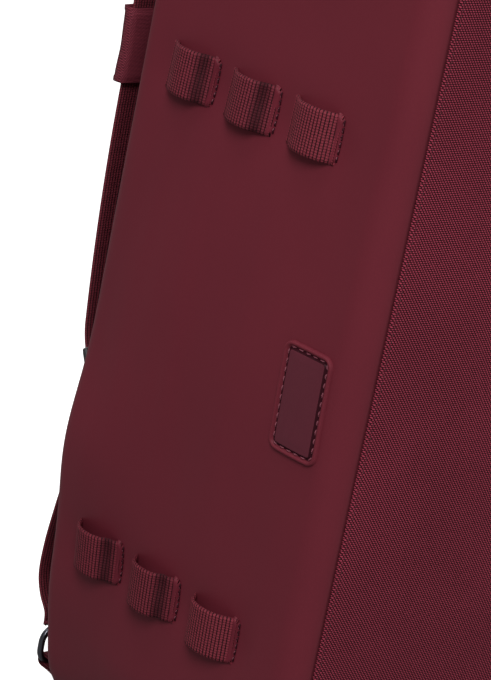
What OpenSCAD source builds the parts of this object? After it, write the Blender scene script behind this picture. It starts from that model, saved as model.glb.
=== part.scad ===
// Travel backpack: a clamshell bag with a coated gusset, a twill front door on a sewn
// seam, webbing lash loops on both sides, a back panel with harness and trolley sleeve.
// Millimetres. +Z is up, the front faces -Y, and the bag stands on z = 0 with the
// origin under the middle of its overall box.

/* [Body] */
// Width of the bag across its back
body_w = 320; // [290:5:360]
// Height of the bag without its grab handle
body_h = 500; // [470:5:560]
// Depth from the back panel to the front door
body_d = 182; // [150:2:220]
// Corner radius of the bag seen from the front
corner_r = 60; // [50:1:80]
// Rounding between the side and the front, up to the door's seam
edge_r = 14; // [12:1:20]
// Thickness of a lined and padded fabric wall
wall = 3; // [2:0.5:4]
// Thickness of the padded back panel
back_t = 8; // [6:1:12]

/* [Lash loops] */
// Width of the loop webbing, measured along the height of the bag
loop_w = 25; // [20:1:30]
// Length of one loop from stitch to stitch
loop_len = 33; // [28:1:38]
// Distance from one loop to the next
loop_pitch = 44; // [40:0.5:46]
// Distance from the back edge to the first loop
loop_start = 21.5; // [14:0.5:24]
// How much further from the back edge the lower row starts
low_shift = 1.5; // [0:0.5:8]
// Clear height under the top of a loop
loop_rise = 6.5; // [5:0.5:8]
// Height of the lower row of loops above the floor
row_low = 106; // [100:1:140]
// Height of the upper row of loops above the floor
row_high = 355; // [320:1:380]

/* [Badge] */
// Width of the blank badge
badge_w = 32; // [24:1:36]
// Height of the blank badge
badge_h = 54; // [44:1:60]
// Height of the badge's middle above the floor
badge_z = 233; // [200:1:260]

/* [Zips] */
// Width of one half of a zip's coil and tape
coil_w = 4; // [3:0.5:5]
// Thickness of a zip's coil
coil_t = 2; // [1.5:0.5:3]
// Length of the front pocket's opening
pocket_l = 200; // [150:5:220]
// Height of the front pocket's opening above the floor
pocket_z = 397; // [370:1:410]

/* [Harness] */
// Width of a shoulder strap's pad
strap_w = 50; // [44:1:65]
// Thickness of a shoulder strap's pad
strap_t = 12; // [8:1:15]
// How far a strap stands off the back panel
strap_out = 48; // [45:1:55]
// Distance of a strap's middle from the centre line
strap_x = 113; // [100:1:118]
// Lean of a strap, its top end towards the centre line
strap_lean = 3; // [0:1:8]
// Width of the harness webbing
web_w = 25; // [20:1:26]
// Thickness of the harness webbing
web_t = 1.8; // [1.4:0.2:2.4]
// Diameter of the ring's wire
ring_wire = 3.6; // [3:0.2:4.5]

/* [Grab handle] */
// Half the distance between the ends of the handle
handle_half = 68; // [60:1:75]
// Rise of the handle's webbing above its hinge line
handle_rise = 24; // [20:1:28]
// Width of the handle's webbing
handle_w = 26; // [22:1:30]

/* [Hidden] */
$fn = 96;
gap = 0.3;

// Zip sliders: a plate in front of the coil, and the pin its puller hangs on
slider_l = 12;
slider_t = 2.6;
pin_d = 1.2;
pin_l = 4;
pin_out = 1.2;
puller_t = 1.6;
zip_out = 0.1 + slider_t + pin_out + puller_t / 2;

// The body's front and back faces, placed so that the overall box is centred on y = 0
front_y = -(body_d + strap_out - zip_out) / 2;
back_y = front_y + body_d;
mid_z = body_h / 2;
slider_y = front_y - 0.1 - slider_t;

// The seam of the door and the zip that closes it, counted inwards from the side
seam_in = edge_r;
body_coil_in = seam_in + coil_w;
door_coil_in = body_coil_in + gap + coil_w;
door_in = door_coil_in + gap;
main_x = body_w / 2 - body_coil_in + coil_w / 2;
upper_z = mid_z + 10;
lower_z = mid_z - 30;

// Loop arch
loop_t = 1.6;
foot_l = 5;
arch_half = loop_len / 2 - foot_l;
arch_r = (pow(arch_half, 2) + pow(loop_rise, 2)) / (2 * loop_rise);

// Shoulder strap: a long arc in side view, and a tighter one above strap_cz that meets the anchor
strap_r = 750;
strap_top_r = 120;
pad_in = strap_w / 2 + 1;
strap_cz = 380;
lean_z = 330;
strap_top = 45;
strap_end = -14.7;
lock_end = -16.3;
keeper_t = 2;
keeper_arc = [-4.2, -1.5];
lock_t = 4;

// Lower webbing, ring and tab
low_x = strap_x + 9;
low_r = 75;
low_bulge = 29;
low_z = 72;
low_end = -22.3;
low_top = 27.5;
ring_w = 34;
ring_h = 22;
ring_corner = 4.5;
ring_y = back_y + 17;
ring_z = 17;
tab_w = 24;

// Grab handle
handle_y = back_y - 45;
handle_z = body_h + 4.5;
handle_t = 3;
handle_r = (pow(handle_half, 2) + pow(handle_rise, 2)) / (2 * handle_rise);
grip_half = 42;

// Inside
sleeve_d = 30;
sleeve_half = 130;
sleeve_z = [25, 340];
frame_t = 2.5;
inner_y = back_y - back_t - gap - frame_t - gap;
strap_in_y = inner_y - sleeve_d - gap - web_t;
strap_in_z = 270;

// Colours
coated = [0.32, 0.11, 0.15];
twill = [0.33, 0.13, 0.18];
webbing = [0.38, 0.14, 0.18];
lining = [0.16, 0.13, 0.14];
gunmetal = [0.20, 0.20, 0.22];
plastic = [0.10, 0.09, 0.10];

SIDES = ["left", "right"];
ROWS = 6;
LOOPS = [for (s = SIDES) for (i = [1:ROWS]) str("loop_", s, "_", i)];
PAIRS = [for (p = ["side_panel", "strap_anchor", "strap_pad", "strap_webbing", "strap_keeper",
                   "ladder_lock", "lower_webbing", "ring_tab", "ring", "packing_strap"])
         for (s = SIDES) str(p, "_", s)];
SINGLES = ["base_panel", "top_panel", "back_panel", "frame_sheet", "back_pad", "lumbar_pad",
           "trolley_sleeve", "laptop_sleeve", "base_board", "packing_buckle", "zip_coil_body",
           "badge", "handle_anchors", "front_panel", "zip_coil_door", "pocket_bag",
           "pocket_zip", "upper_slider", "lower_slider", "pocket_slider", "upper_puller",
           "lower_puller", "pocket_puller", "handle_webbing", "handle_grip"];

// ---------- shared shapes ----------

// A rectangle with round corners, centred
module round_rect(w, h, r) {
  square([w, h - 2 * r], center = true);
  square([w - 2 * r, h], center = true);
  for (x = [-1, 1], y = [-1, 1]) {
    translate([x * (w / 2 - r), y * (h / 2 - r)]) circle(r);
  }
}

// An upright plate from y0 back to y1, its outline drawn in X and Z
module plate(y0, y1) {
  translate([0, y1, 0]) rotate([90, 0, 0]) linear_extrude(y1 - y0) children();
}

// Sweeps a profile round the bag's outline seen from the front. The profile's x is counted
// outwards from the outline and its y is the depth. Runs and corners are numbered
// anticlockwise from the right side: right, top, left, bottom.
module round_outline(runs, corners) {
  for (k = runs) {
    half_size = (k % 2 == 0 ? body_w : body_h) / 2;
    half_run = (k % 2 == 0 ? body_h : body_w) / 2 - corner_r - 0.05;
    translate([0, 0, mid_z]) rotate([0, -90 * k, 0]) translate([half_size, 0, -half_run])
      linear_extrude(2 * half_run) children();
  }
  for (k = corners) {
    half_size = (k % 2 == 0 ? body_w : body_h) / 2 - corner_r;
    half_run = (k % 2 == 0 ? body_h : body_w) / 2 - corner_r;
    translate([0, 0, mid_z]) rotate([0, -90 * k, 0]) translate([half_size, 0, half_run])
      rotate([-90, 0, 0]) rotate([0, 0, -90])
        rotate_extrude(angle = 90) translate([corner_r, 0]) children();
  }
}

// The gusset wall with its rounded front edge
module gusset_profile() {
  translate([-wall, front_y + edge_r])
    square([wall, body_d - back_t - gap - edge_r]);
  intersection() {
    translate([-edge_r, front_y]) square(edge_r);
    difference() {
      translate([-edge_r, front_y + edge_r]) circle(edge_r);
      translate([-edge_r, front_y + edge_r]) circle(edge_r - wall);
    }
  }
}

// Half of a zip, its outer edge at a distance from the bag's outline
module coil_profile(outer_in) {
  translate([-outer_in - coil_w, front_y + gap]) square([coil_w - 0.1, coil_t]);
}

// A band that follows an arc in side view: from radius r0 to r1, angles up from the back
module arc_band(cy, cz, r0, r1, w, a0, a1) {
  translate([0, cy, cz]) rotate([0, 90, 0]) rotate([0, 0, 90 + a0])
    rotate_extrude(angle = a1 - a0) translate([r0, -w / 2]) square([r1 - r0, w]);
}

// Puts a left-hand piece on the side that is asked for
module on_side(side) {
  mirror([side == "right" ? 1 : 0, 0, 0]) children();
}

// The part of the strap below strap_cz, between two depths from its outer face
module strap_low(near, far, w, a0, a1) {
  arc_band(back_y + strap_out - strap_r, strap_cz, strap_r - far, strap_r - near, w, a0, a1);
}

// The whole strap between two depths from its outer face. Its upper part is a little fuller, so
// that the lower part ends inside it
module strap_band(near, far, w) {
  fuller = 0.1;
  strap_low(near, far, w, strap_end, 0);
  arc_band(back_y + strap_out - strap_top_r, strap_cz, strap_top_r - far - fuller,
           strap_top_r - near + fuller, w + 2 * fuller, -1, strap_top);
}

// Puts a strap piece at its place and lean on the left
module on_strap() {
  translate([-strap_x, 0, lean_z]) rotate([0, strap_lean, 0])
    translate([0, 0, -lean_z]) children();
}

// ---------- shell ----------

module side_panel(side) {
  on_side(side) color(coated) {
    round_outline([2], []) gusset_profile();
    round_outline([], [1]) gusset_profile();
    round_outline([], [2]) gusset_profile();
  }
}

module base_panel() {
  color(coated) round_outline([3], []) gusset_profile();
}

module top_panel() {
  color(coated) round_outline([1], []) gusset_profile();
}

module back_panel() {
  color(lining) plate(back_y - back_t, back_y)
    translate([0, mid_z]) round_rect(body_w, body_h, corner_r);
}

module frame_sheet() {
  inset = 8;
  color(plastic) plate(back_y - back_t - gap - frame_t, back_y - back_t - gap)
    translate([0, mid_z])
      round_rect(body_w - 2 * inset, body_h - 2 * inset, corner_r - inset);
}

module back_pad() {
  color(lining) plate(back_y + gap, back_y + 7)
    translate([0, 350]) round_rect(150, 190, 20);
}

module lumbar_pad() {
  color(lining) plate(back_y + gap, back_y + 7)
    translate([0, 62]) round_rect(190, 60, 18);
}

// A band that a case's telescopic handle goes through, from below upwards
module trolley_sleeve() {
  half = 88;
  rise = 15;
  skin = 2;
  z = [104, 182];
  color(coated) translate([0, 0, z[0]]) linear_extrude(z[1] - z[0]) {
    translate([-half, back_y + rise]) square([2 * half, skin]);
    for (x = [-half, half - 8]) {
      translate([x, back_y + gap]) square([8, rise]);
    }
  }
}

module laptop_sleeve() {
  skin = 2;
  z0 = sleeve_z[0];
  front = inner_y - sleeve_d;
  color(lining) {
    difference() {
      translate([-sleeve_half, front, z0])
        cube([2 * sleeve_half, sleeve_d, sleeve_z[1] - z0]);
      translate([-sleeve_half + skin, front + skin, z0 + skin])
        cube([2 * (sleeve_half - skin), sleeve_d, sleeve_z[1]]);
    }
  }
}

module base_board() {
  half = body_w / 2 - corner_r - 2;
  y0 = front_y + edge_r + 2;
  color(plastic) translate([-half, y0, wall + gap])
    cube([2 * half, inner_y - 2 - y0, 3]);
}

module packing_strap(side) {
  end_x = 21;
  on_side(side) color(webbing)
    translate([-body_w / 2 + wall + gap, strap_in_y, strap_in_z - web_w / 2])
      cube([body_w / 2 - wall - gap - end_x, web_t, web_w]);
}

module packing_buckle() {
  thick = 7;
  color(plastic) plate(strap_in_y - thick + web_t, strap_in_y + web_t)
    translate([0, strap_in_z]) round_rect(40, 34, 5);
}

module zip_coil_body() {
  color(lining) round_outline([0, 1, 3], [0, 1, 2, 3]) coil_profile(seam_in);
}

// Blank plate with a raised rim, its long side upright
module badge() {
  rim = 2;
  base_t = 1.6;
  color(coated) translate([-body_w / 2 - 0.1, front_y + edge_r + badge_w / 2 + 1, badge_z])
    rotate([0, -90, 0]) {
      linear_extrude(base_t) round_rect(badge_h, badge_w, 4);
      linear_extrude(2.4) difference() {
        round_rect(badge_h, badge_w, 4);
        round_rect(badge_h - 2 * rim, badge_w - 2 * rim, 3);
      }
    }
}

// ---------- lash loops ----------

module lash_loop(side, index) {
  row_z = index < 3 ? row_high : row_low;
  shift = index < 3 ? 0 : low_shift;
  y = back_y - loop_start - shift - loop_len / 2 - loop_pitch * (index % 3);
  centre = loop_rise - arch_r;
  on_side(side) color(webbing)
    translate([-body_w / 2 - 0.1, y, row_z - loop_w / 2]) mirror([1, 0, 0])
      linear_extrude(loop_w) {
        for (s = [-1, 1]) {
          translate([0, s * (loop_len - foot_l) / 2 - foot_l / 2]) square([loop_t, foot_l]);
        }
        intersection() {
          translate([0, -loop_len / 2]) square([loop_rise + loop_t + 1, loop_len]);
          difference() {
            translate([centre, 0]) circle(arch_r + loop_t);
            translate([centre, 0]) circle(arch_r);
          }
        }
      }
}

// ---------- front door ----------

module front_panel() {
  color(twill) plate(front_y, front_y + wall) difference() {
    union() {
      translate([0, mid_z])
        round_rect(body_w - 2 * door_in, body_h - 2 * door_in, corner_r - door_in);
      translate([-body_w / 2 + seam_in + 0.5, corner_r + 1])
        square([door_in - seam_in + 1, body_h - 2 * corner_r - 2]);
    }
    translate([-pocket_l / 2 + 5, pocket_z - coil_w - 0.5])
      square([pocket_l, 2 * coil_w + 1]);
  }
}

module zip_coil_door() {
  color(lining) round_outline([0, 1, 3], [0, 1, 2, 3]) coil_profile(body_coil_in + gap);
}

// The front pocket hangs behind the door, open towards it
module pocket_bag() {
  deep = 14;
  skin = 1.5;
  x = [-110, 120];
  z = [150, 412];
  y0 = front_y + wall + gap;
  color(lining) difference() {
    translate([x[0], y0, z[0]]) cube([x[1] - x[0], deep, z[1] - z[0]]);
    translate([x[0] + skin, y0 - 1, z[0] + skin])
      cube([x[1] - x[0] - 2 * skin, deep + 1 - skin, z[1] - z[0] - 2 * skin]);
  }
}

module pocket_zip() {
  x0 = -pocket_l / 2 + 5 + gap;
  color(lining) for (z = [pocket_z - coil_w - 0.1, pocket_z + 0.1]) {
    translate([x0, front_y + gap, z]) cube([pocket_l - 2 * gap, coil_t, coil_w]);
  }
}

// ---------- zip sliders and pullers ----------

// A slider's plate, and the pin between two ears that its puller hangs on
module slider(w, high) {
  ear = 0.7;
  ear_half = 1;
  translate([-w / 2, 0, -high / 2]) cube([w, slider_t, high]);
  for (s = [-1, 1]) {
    translate([s * (pin_l - ear) / 2 - ear / 2, -pin_out - pin_d / 2 - 0.2, -ear_half])
      cube([ear, pin_out + pin_d / 2 + 0.3, 2 * ear_half]);
  }
  translate([-pin_l / 2, -pin_out, 0]) rotate([0, 90, 0]) cylinder(h = pin_l, d = pin_d);
}

// A puller that hangs from its pin, with an eye round the pin
module puller(w) {
  long = 30;
  neck = 2.4;
  neck_w = 2.2;
  difference() {
    union() {
      translate([-w / 2, -puller_t / 2, -long]) cube([w, puller_t, long - neck]);
      translate([-neck_w / 2, -puller_t / 2, -neck]) cube([neck_w, puller_t, neck]);
      translate([-neck_w / 2, 0, 0]) rotate([0, 90, 0]) cylinder(h = neck_w, d = 2);
    }
    translate([-w, 0, 0]) rotate([0, 90, 0]) cylinder(h = 2 * w, d = pin_d + 0.1);
  }
}

module main_slider(z) {
  color(gunmetal) translate([main_x, slider_y, z]) slider(coil_w, slider_l);
}

module main_puller(z) {
  color(plastic) translate([main_x, slider_y - pin_out, z]) puller(coil_w);
}

module upper_slider() {
  main_slider(upper_z);
}

module lower_slider() {
  main_slider(lower_z);
}

module pocket_slider() {
  color(gunmetal) translate([pocket_l / 2 - 5, slider_y, pocket_z])
    slider(slider_l, 2 * coil_w);
}

module upper_puller() {
  main_puller(upper_z);
}

module lower_puller() {
  main_puller(lower_z);
}

module pocket_puller() {
  color(plastic) translate([pocket_l / 2 - 5, slider_y - pin_out, pocket_z]) puller(5);
}

// ---------- harness ----------

// The block at the top of the back panel that a strap is sewn under
module strap_anchor(side) {
  top_x = strap_x - pad_in - 7;
  on_side(side) color(twill) plate(back_y + gap, back_y + 9)
    translate([-top_x, 482]) round_rect(strap_w + 6, 18, 6);
}

module strap_pad(side) {
  near = web_t + gap;
  on_side(side) on_strap() color(lining) translate([pad_in, 0, 0])
    strap_band(near, near + strap_t, strap_w);
}

module strap_webbing(side) {
  on_side(side) on_strap() color(webbing) strap_band(0, web_t, web_w);
}

module strap_keeper(side) {
  on_side(side) on_strap() color(twill)
    strap_low(-gap - keeper_t, -gap, web_w + 5, keeper_arc[0], keeper_arc[1]);
}

module ladder_lock(side) {
  near = 2.2;
  on_side(side) on_strap() color(plastic) difference() {
    strap_low(near, near + lock_t, web_w + 8, lock_end, strap_end - 0.05);
    for (a = [lock_end + 0.3, lock_end + 0.95]) {
      strap_low(near - 1, near + lock_t + 1, web_w, a, a + 0.35);
    }
  }
}

module lower_webbing(side) {
  on_side(side) translate([-low_x, 0, 0]) color(webbing)
    arc_band(back_y + low_bulge - low_r, low_z, low_r - web_t, low_r, web_w,
             low_end, low_top);
}

// A rectangular wire ring with round corners, its lower bar in the tab
module ring(side) {
  straight_w = ring_w - 2 * ring_corner;
  straight_h = ring_h - 2 * ring_corner;
  on_side(side) translate([-low_x, ring_y, ring_z + ring_h / 2]) color(gunmetal) {
    for (s = [-1, 1]) {
      translate([-straight_w / 2, 0, s * ring_h / 2]) rotate([0, 90, 0])
        cylinder(h = straight_w, d = ring_wire);
      translate([s * ring_w / 2, 0, -straight_h / 2]) cylinder(h = straight_h, d = ring_wire);
    }
    for (k = [0:3]) {
      x = (k == 0 || k == 3 ? 1 : -1) * straight_w / 2;
      z = (k < 2 ? -1 : 1) * straight_h / 2;
      translate([x, 0, z]) rotate([-90, 0, 0]) rotate([0, 0, 90 * k])
        rotate_extrude(angle = 90) translate([ring_corner, 0]) circle(d = ring_wire);
    }
  }
}

// The folded tab in the bottom seam that holds the ring's lower bar
module ring_tab(side) {
  high = 9;
  on_side(side) translate([-low_x, 0, ring_z]) color(webbing) difference() {
    translate([-tab_w / 2, back_y + gap, -high / 2])
      cube([tab_w, ring_y - back_y - gap + high / 2, high]);
    translate([-tab_w, ring_y, 0]) rotate([0, 90, 0])
      cylinder(h = 2 * tab_w, d = ring_wire + 0.1);
  }
}

// ---------- grab handle ----------

// A band of the handle's arch between two radii
module handle_arch(r0, r1, w, half) {
  centre = handle_z + handle_rise - handle_r;
  translate([0, handle_y + w / 2, 0]) rotate([90, 0, 0]) linear_extrude(w) intersection() {
    translate([-half, handle_z]) square([2 * half, 60]);
    translate([0, centre]) difference() {
      circle(r1);
      circle(r0);
    }
  }
}

module handle_webbing() {
  color(webbing) handle_arch(handle_r - handle_t, handle_r, handle_w, 2 * handle_half);
}

module handle_grip() {
  color(twill) difference() {
    handle_arch(handle_r - handle_t - 5, handle_r + 4, handle_w + 8, grip_half);
    handle_arch(handle_r - handle_t - gap, handle_r + gap, handle_w + 2 * gap, grip_half + 1);
  }
}

module handle_anchors() {
  color(twill) for (s = [-1, 1]) {
    translate([s * (handle_half + 10), handle_y, body_h + 0.1]) linear_extrude(3)
      round_rect(17, handle_w + 6, 3);
  }
}

// ---------- assembly ----------

base_panel();
top_panel();
back_panel();
frame_sheet();
back_pad();
lumbar_pad();
trolley_sleeve();
laptop_sleeve();
base_board();
packing_buckle();
zip_coil_body();
badge();
handle_anchors();
front_panel();
zip_coil_door();
pocket_bag();
pocket_zip();
upper_slider();
lower_slider();
pocket_slider();
upper_puller();
lower_puller();
pocket_puller();
handle_webbing();
handle_grip();
for (s = SIDES) {
  side_panel(s);
  strap_anchor(s);
  strap_pad(s);
  strap_webbing(s);
  strap_keeper(s);
  ladder_lock(s);
  lower_webbing(s);
  ring_tab(s);
  ring(s);
  packing_strap(s);
  for (i = [1:ROWS]) {
    lash_loop(s, i - 1);
  }
}
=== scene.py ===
"""Looks of the travel backpack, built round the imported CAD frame. Lengths here are in millimetres
until a mesh is made, and every mesh is in metres."""
import math
import random

import bpy
from mathutils import Matrix, Vector, noise


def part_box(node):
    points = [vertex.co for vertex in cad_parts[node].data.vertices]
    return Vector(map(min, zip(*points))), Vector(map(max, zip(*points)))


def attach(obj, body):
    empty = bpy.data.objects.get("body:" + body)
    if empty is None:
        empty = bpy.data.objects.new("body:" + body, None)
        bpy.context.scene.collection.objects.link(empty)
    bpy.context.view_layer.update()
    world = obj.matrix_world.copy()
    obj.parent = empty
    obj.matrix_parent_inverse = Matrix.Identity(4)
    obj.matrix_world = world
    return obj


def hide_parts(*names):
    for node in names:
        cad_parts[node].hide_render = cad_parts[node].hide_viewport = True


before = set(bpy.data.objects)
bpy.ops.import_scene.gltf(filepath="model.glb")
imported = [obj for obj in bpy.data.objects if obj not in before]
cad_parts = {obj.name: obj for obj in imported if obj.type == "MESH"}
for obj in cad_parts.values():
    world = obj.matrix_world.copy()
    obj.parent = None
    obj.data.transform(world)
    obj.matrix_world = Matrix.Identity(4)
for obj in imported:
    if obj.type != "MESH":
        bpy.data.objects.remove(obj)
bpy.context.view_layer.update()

MM = 0.001


def node_box(name):
    """Lowest and highest corner of a CAD node, in millimetres."""
    low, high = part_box(name)
    return low / MM, high / MM


def srgb(red, green, blue):
    """Linear colour of an 8-bit screen colour."""
    def linear(value):
        value /= 255
        return value / 12.92 if value <= 0.04045 else ((value + 0.055) / 1.055) ** 2.4
    return (linear(red), linear(green), linear(blue), 1)


def smooth(value, low, high):
    """0 below low, 1 above high, and a soft step between them."""
    share = min(max((value - low) / (high - low), 0), 1)
    return share * share * (3 - 2 * share)


def mix(a, b, share):
    return a + (b - a) * share


def steps(a, b, count):
    """Even steps from a to b, both of them counted in."""
    return [mix(a, b, k / count) for k in range(count + 1)]


def side_word(side):
    return "left" if side < 0 else "right"


# ---------- sizes, read from the frame ----------

SIDE_LOW, SIDE_HIGH = node_box("side_panel_left")
BACK_LOW, BACK_HIGH = node_box("back_panel")
FRONT_LOW, FRONT_HIGH = node_box("front_panel")
HALF_W = BACK_HIGH.x
TOP_Z = BACK_HIGH.z
MID_Z = TOP_Z / 2
FRONT_Y = SIDE_LOW.y
BACK_Y = BACK_HIGH.y
CORNER_R = HALF_W + SIDE_HIGH.x
WALL = FRONT_HIGH.y - FRONT_LOW.y
EDGE_R = HALF_W + FRONT_LOW.x - 0.5
MID_Y = (FRONT_Y + BACK_Y) / 2
BACK_R = 8
DOOR_IN = HALF_W - FRONT_HIGH.x
SIDE_BULGE = 8
LOOP_PULL = 1.3
DOOR_CROWN = 4
WEB_PITCH = 1.75
WEB_ROW = 1.3


# ---------- mesh helpers ----------

def make_mesh(name, points, faces, uvs=None):
    """A mesh object from points in millimetres. uvs, also in millimetres, has one pair a point."""
    mesh = bpy.data.meshes.new(name)
    mesh.from_pydata([Vector(p) * MM for p in points], [], faces)
    mesh.validate()
    if uvs:
        layer = mesh.uv_layers.new(name="mm")
        for loop in mesh.loops:
            layer.data[loop.index].uv = uvs[loop.vertex_index]
    mesh.polygons.foreach_set("use_smooth", [True] * len(mesh.polygons))
    obj = bpy.data.objects.new(name, mesh)
    bpy.context.scene.collection.objects.link(obj)
    return obj


def grid_faces(rows, columns, start=0, loop_rows=False, loop_columns=False):
    """Quads of a grid of points, optionally closed on itself in either direction."""
    faces = []
    for i in range(rows if loop_rows else rows - 1):
        for j in range(columns if loop_columns else columns - 1):
            a = start + i * columns + j
            b = start + i * columns + (j + 1) % columns
            c = start + (i + 1) % rows * columns + (j + 1) % columns
            d = start + (i + 1) % rows * columns + j
            faces.append((a, b, c, d))
    return faces


def fan(centre, count, way):
    """Triangles from the last ring of points to the centre, the point that follows the ring."""
    start = centre - count
    faces = [(start + k, start + (k + 1) % count, centre) for k in range(count)]
    return faces if way > 0 else [tuple(reversed(face)) for face in faces]


def surface_grid(name, rows, columns, point, uv=None, flip=False):
    """An open grid: point(i, j) gives each place, with i and j from 0 to 1."""
    points, uvs = [], []
    for i in range(rows):
        for j in range(columns):
            a, b = i / (rows - 1), j / (columns - 1)
            points.append(point(a, b))
            uvs.append(uv(a, b) if uv else (a, b))
    faces = grid_faces(rows, columns)
    if flip:
        faces = [tuple(reversed(face)) for face in faces]
    return make_mesh(name, points, faces, uvs)


def thicken(obj, thickness, inside_slot=0, offset=-1):
    """Gives an open sheet its thickness, in millimetres, with another material inside."""
    solid = obj.modifiers.new("thickness", "SOLIDIFY")
    solid.thickness = thickness * MM
    solid.offset = offset
    solid.material_offset = inside_slot
    solid.material_offset_rim = 0
    return obj


def subdivide(obj, levels=1):
    modifier = obj.modifiers.new("smooth", "SUBSURF")
    modifier.levels = levels
    modifier.render_levels = levels
    return obj


def directions_along(path):
    """Unit directions along a list of points."""
    count = len(path)
    return [(path[min(k + 1, count - 1)] - path[max(k - 1, 0)]).normalized()
            for k in range(count)]


def resample(points, count):
    """Points at even steps along a smooth curve through the given ones."""
    dense = []
    last = len(points) - 1
    for k in range(last):
        p0, p1 = points[max(k - 1, 0)], points[k]
        p2, p3 = points[k + 1], points[min(k + 2, last)]
        for step in range(12):
            t = step / 12
            dense.append(0.5 * ((2 * p1) + (p2 - p0) * t + (2 * p0 - 5 * p1 + 4 * p2 - p3) * t * t
                                + (3 * p1 - p0 - 3 * p2 + p3) * t ** 3))
    dense.append(points[-1])
    lengths = [0]
    for a, b in zip(dense, dense[1:]):
        lengths.append(lengths[-1] + (b - a).length)
    result, k = [], 0
    for step in range(count):
        want = lengths[-1] * step / (count - 1)
        while k < len(dense) - 2 and lengths[k + 1] < want:
            k += 1
        span = max(lengths[k + 1] - lengths[k], 1e-9)
        result.append(dense[k].lerp(dense[k + 1], min(max((want - lengths[k]) / span, 0), 1)))
    return result


def ribbon(name, path, across, width, thick, relief=0.0, steps_wide=10, crease=None):
    """Webbing along a path of points. across is the direction of its width. relief is the height
    of the ribs that cross it. crease(along, sideways) moves the surface outwards by some
    millimetres."""
    directions = directions_along(path)
    half = thick / 2
    section = [(x, half) for x in steps(-width / 2 + half, width / 2 - half, steps_wide)]
    section.append((width / 2, 0))
    section += [(x, -half) for x in steps(width / 2 - half, -width / 2 + half, steps_wide)]
    section.append((-width / 2, 0))
    points, uvs = [], []
    travelled = 0
    for k, centre in enumerate(path):
        if k:
            travelled += (centre - path[k - 1]).length
        out = directions[k].cross(across).normalized()
        rib = relief * (abs(math.cos(math.pi * travelled / WEB_PITCH)) - 0.6)
        for sideways, up in section:
            lift = up + (rib if up > 0 else -rib if up < 0 else 0)
            if crease:
                lift += crease(travelled, sideways)
            points.append(centre + across * sideways + out * lift)
            uvs.append((travelled, sideways))
    count = len(section)
    faces = grid_faces(len(path), count, loop_columns=True)
    faces.append(tuple(range(count)))
    faces.append(tuple(reversed(range(len(points) - count, len(points)))))
    return make_mesh(name, points, faces, uvs)


def tube(name, path, radius, sides=10, closed=False):
    """A round bar along a path, open or closed on itself."""
    count = len(path)
    points, uvs = [], []
    normal = None
    for k, centre in enumerate(path):
        ahead = path[(k + 1) % count] if closed or k < count - 1 else centre
        behind = path[k - 1] if closed or k > 0 else centre
        direction = (ahead - behind).normalized()
        if normal is None:
            normal = direction.orthogonal().normalized()
        normal = (normal - direction * normal.dot(direction)).normalized()
        other = direction.cross(normal)
        for side in range(sides):
            angle = 2 * math.pi * side / sides
            points.append(centre + normal * (math.cos(angle) * radius)
                          + other * (math.sin(angle) * radius))
            uvs.append((k, side))
    faces = grid_faces(count, sides, loop_rows=closed, loop_columns=True)
    if not closed:
        faces.append(tuple(reversed(range(sides))))
        faces.append(tuple(range(len(points) - sides, len(points))))
    return make_mesh(name, points, faces, uvs)


def stitches(name, path, outs, length=2.4, pitch=3.3, radius=0.32, sink=0.1, crossing=False):
    """A row of thread stitches along a path, each a small capsule lying on the surface. With
    crossing, they lie across the path, as the teeth of a zip do."""
    lengths = [0]
    for a, b in zip(path, path[1:]):
        lengths.append(lengths[-1] + (b - a).length)
    points, faces = [], []
    sides = 6
    ring_places = ((-0.5, 0.25), (-0.38, 0.85), (0, 1.0), (0.38, 0.85), (0.5, 0.25))
    count = max(int(lengths[-1] // pitch), 1)
    k = 0
    for index in range(count):
        middle = (index + 0.5) * lengths[-1] / count
        while k < len(path) - 2 and lengths[k + 1] < middle:
            k += 1
        span = max(lengths[k + 1] - lengths[k], 1e-9)
        share = (middle - lengths[k]) / span
        centre = path[k].lerp(path[k + 1], share)
        out = outs[k].lerp(outs[k + 1], share).normalized()
        along = (path[k + 1] - path[k]).normalized()
        side = along.cross(out).normalized()
        if crossing:
            along, side = side, -along
        start = len(points)
        for place, size in ring_places:
            dip = -sink - 1.6 * radius * (2 * abs(place)) ** 3
            for corner in range(sides):
                angle = 2 * math.pi * corner / sides
                points.append(centre + along * (place * length)
                              + side * (math.cos(angle) * radius * size)
                              + out * (math.sin(angle) * radius * size + radius + dip))
        faces += grid_faces(len(ring_places), sides, start, loop_columns=True)
        faces.append(tuple(reversed(range(start, start + sides))))
        faces.append(tuple(range(len(points) - sides, len(points))))
    return make_mesh(name, points, faces, [(p[0], p[2]) for p in points])


def round_rect_path(width, height, radius, count_side=12, count_corner=8):
    """Flat outline of a rectangle with round corners, anticlockwise, as (x, y) pairs."""
    outline = []
    corners = ((1, -1, -90), (1, 1, 0), (-1, 1, 90), (-1, -1, 180))
    for k, (sx, sy, start) in enumerate(corners):
        for step in range(count_corner + 1):
            angle = math.radians(start + 90 * step / count_corner)
            outline.append((sx * (width / 2 - radius) + radius * math.cos(angle),
                            sy * (height / 2 - radius) + radius * math.sin(angle)))
        nx, ny, nstart = corners[(k + 1) % 4]
        angle = math.radians(nstart)
        end = (nx * (width / 2 - radius) + radius * math.cos(angle),
               ny * (height / 2 - radius) + radius * math.sin(angle))
        begin = outline[-1]
        for step in range(1, count_side):
            share = step / count_side
            outline.append((mix(begin[0], end[0], share), mix(begin[1], end[1], share)))
    return outline


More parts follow.
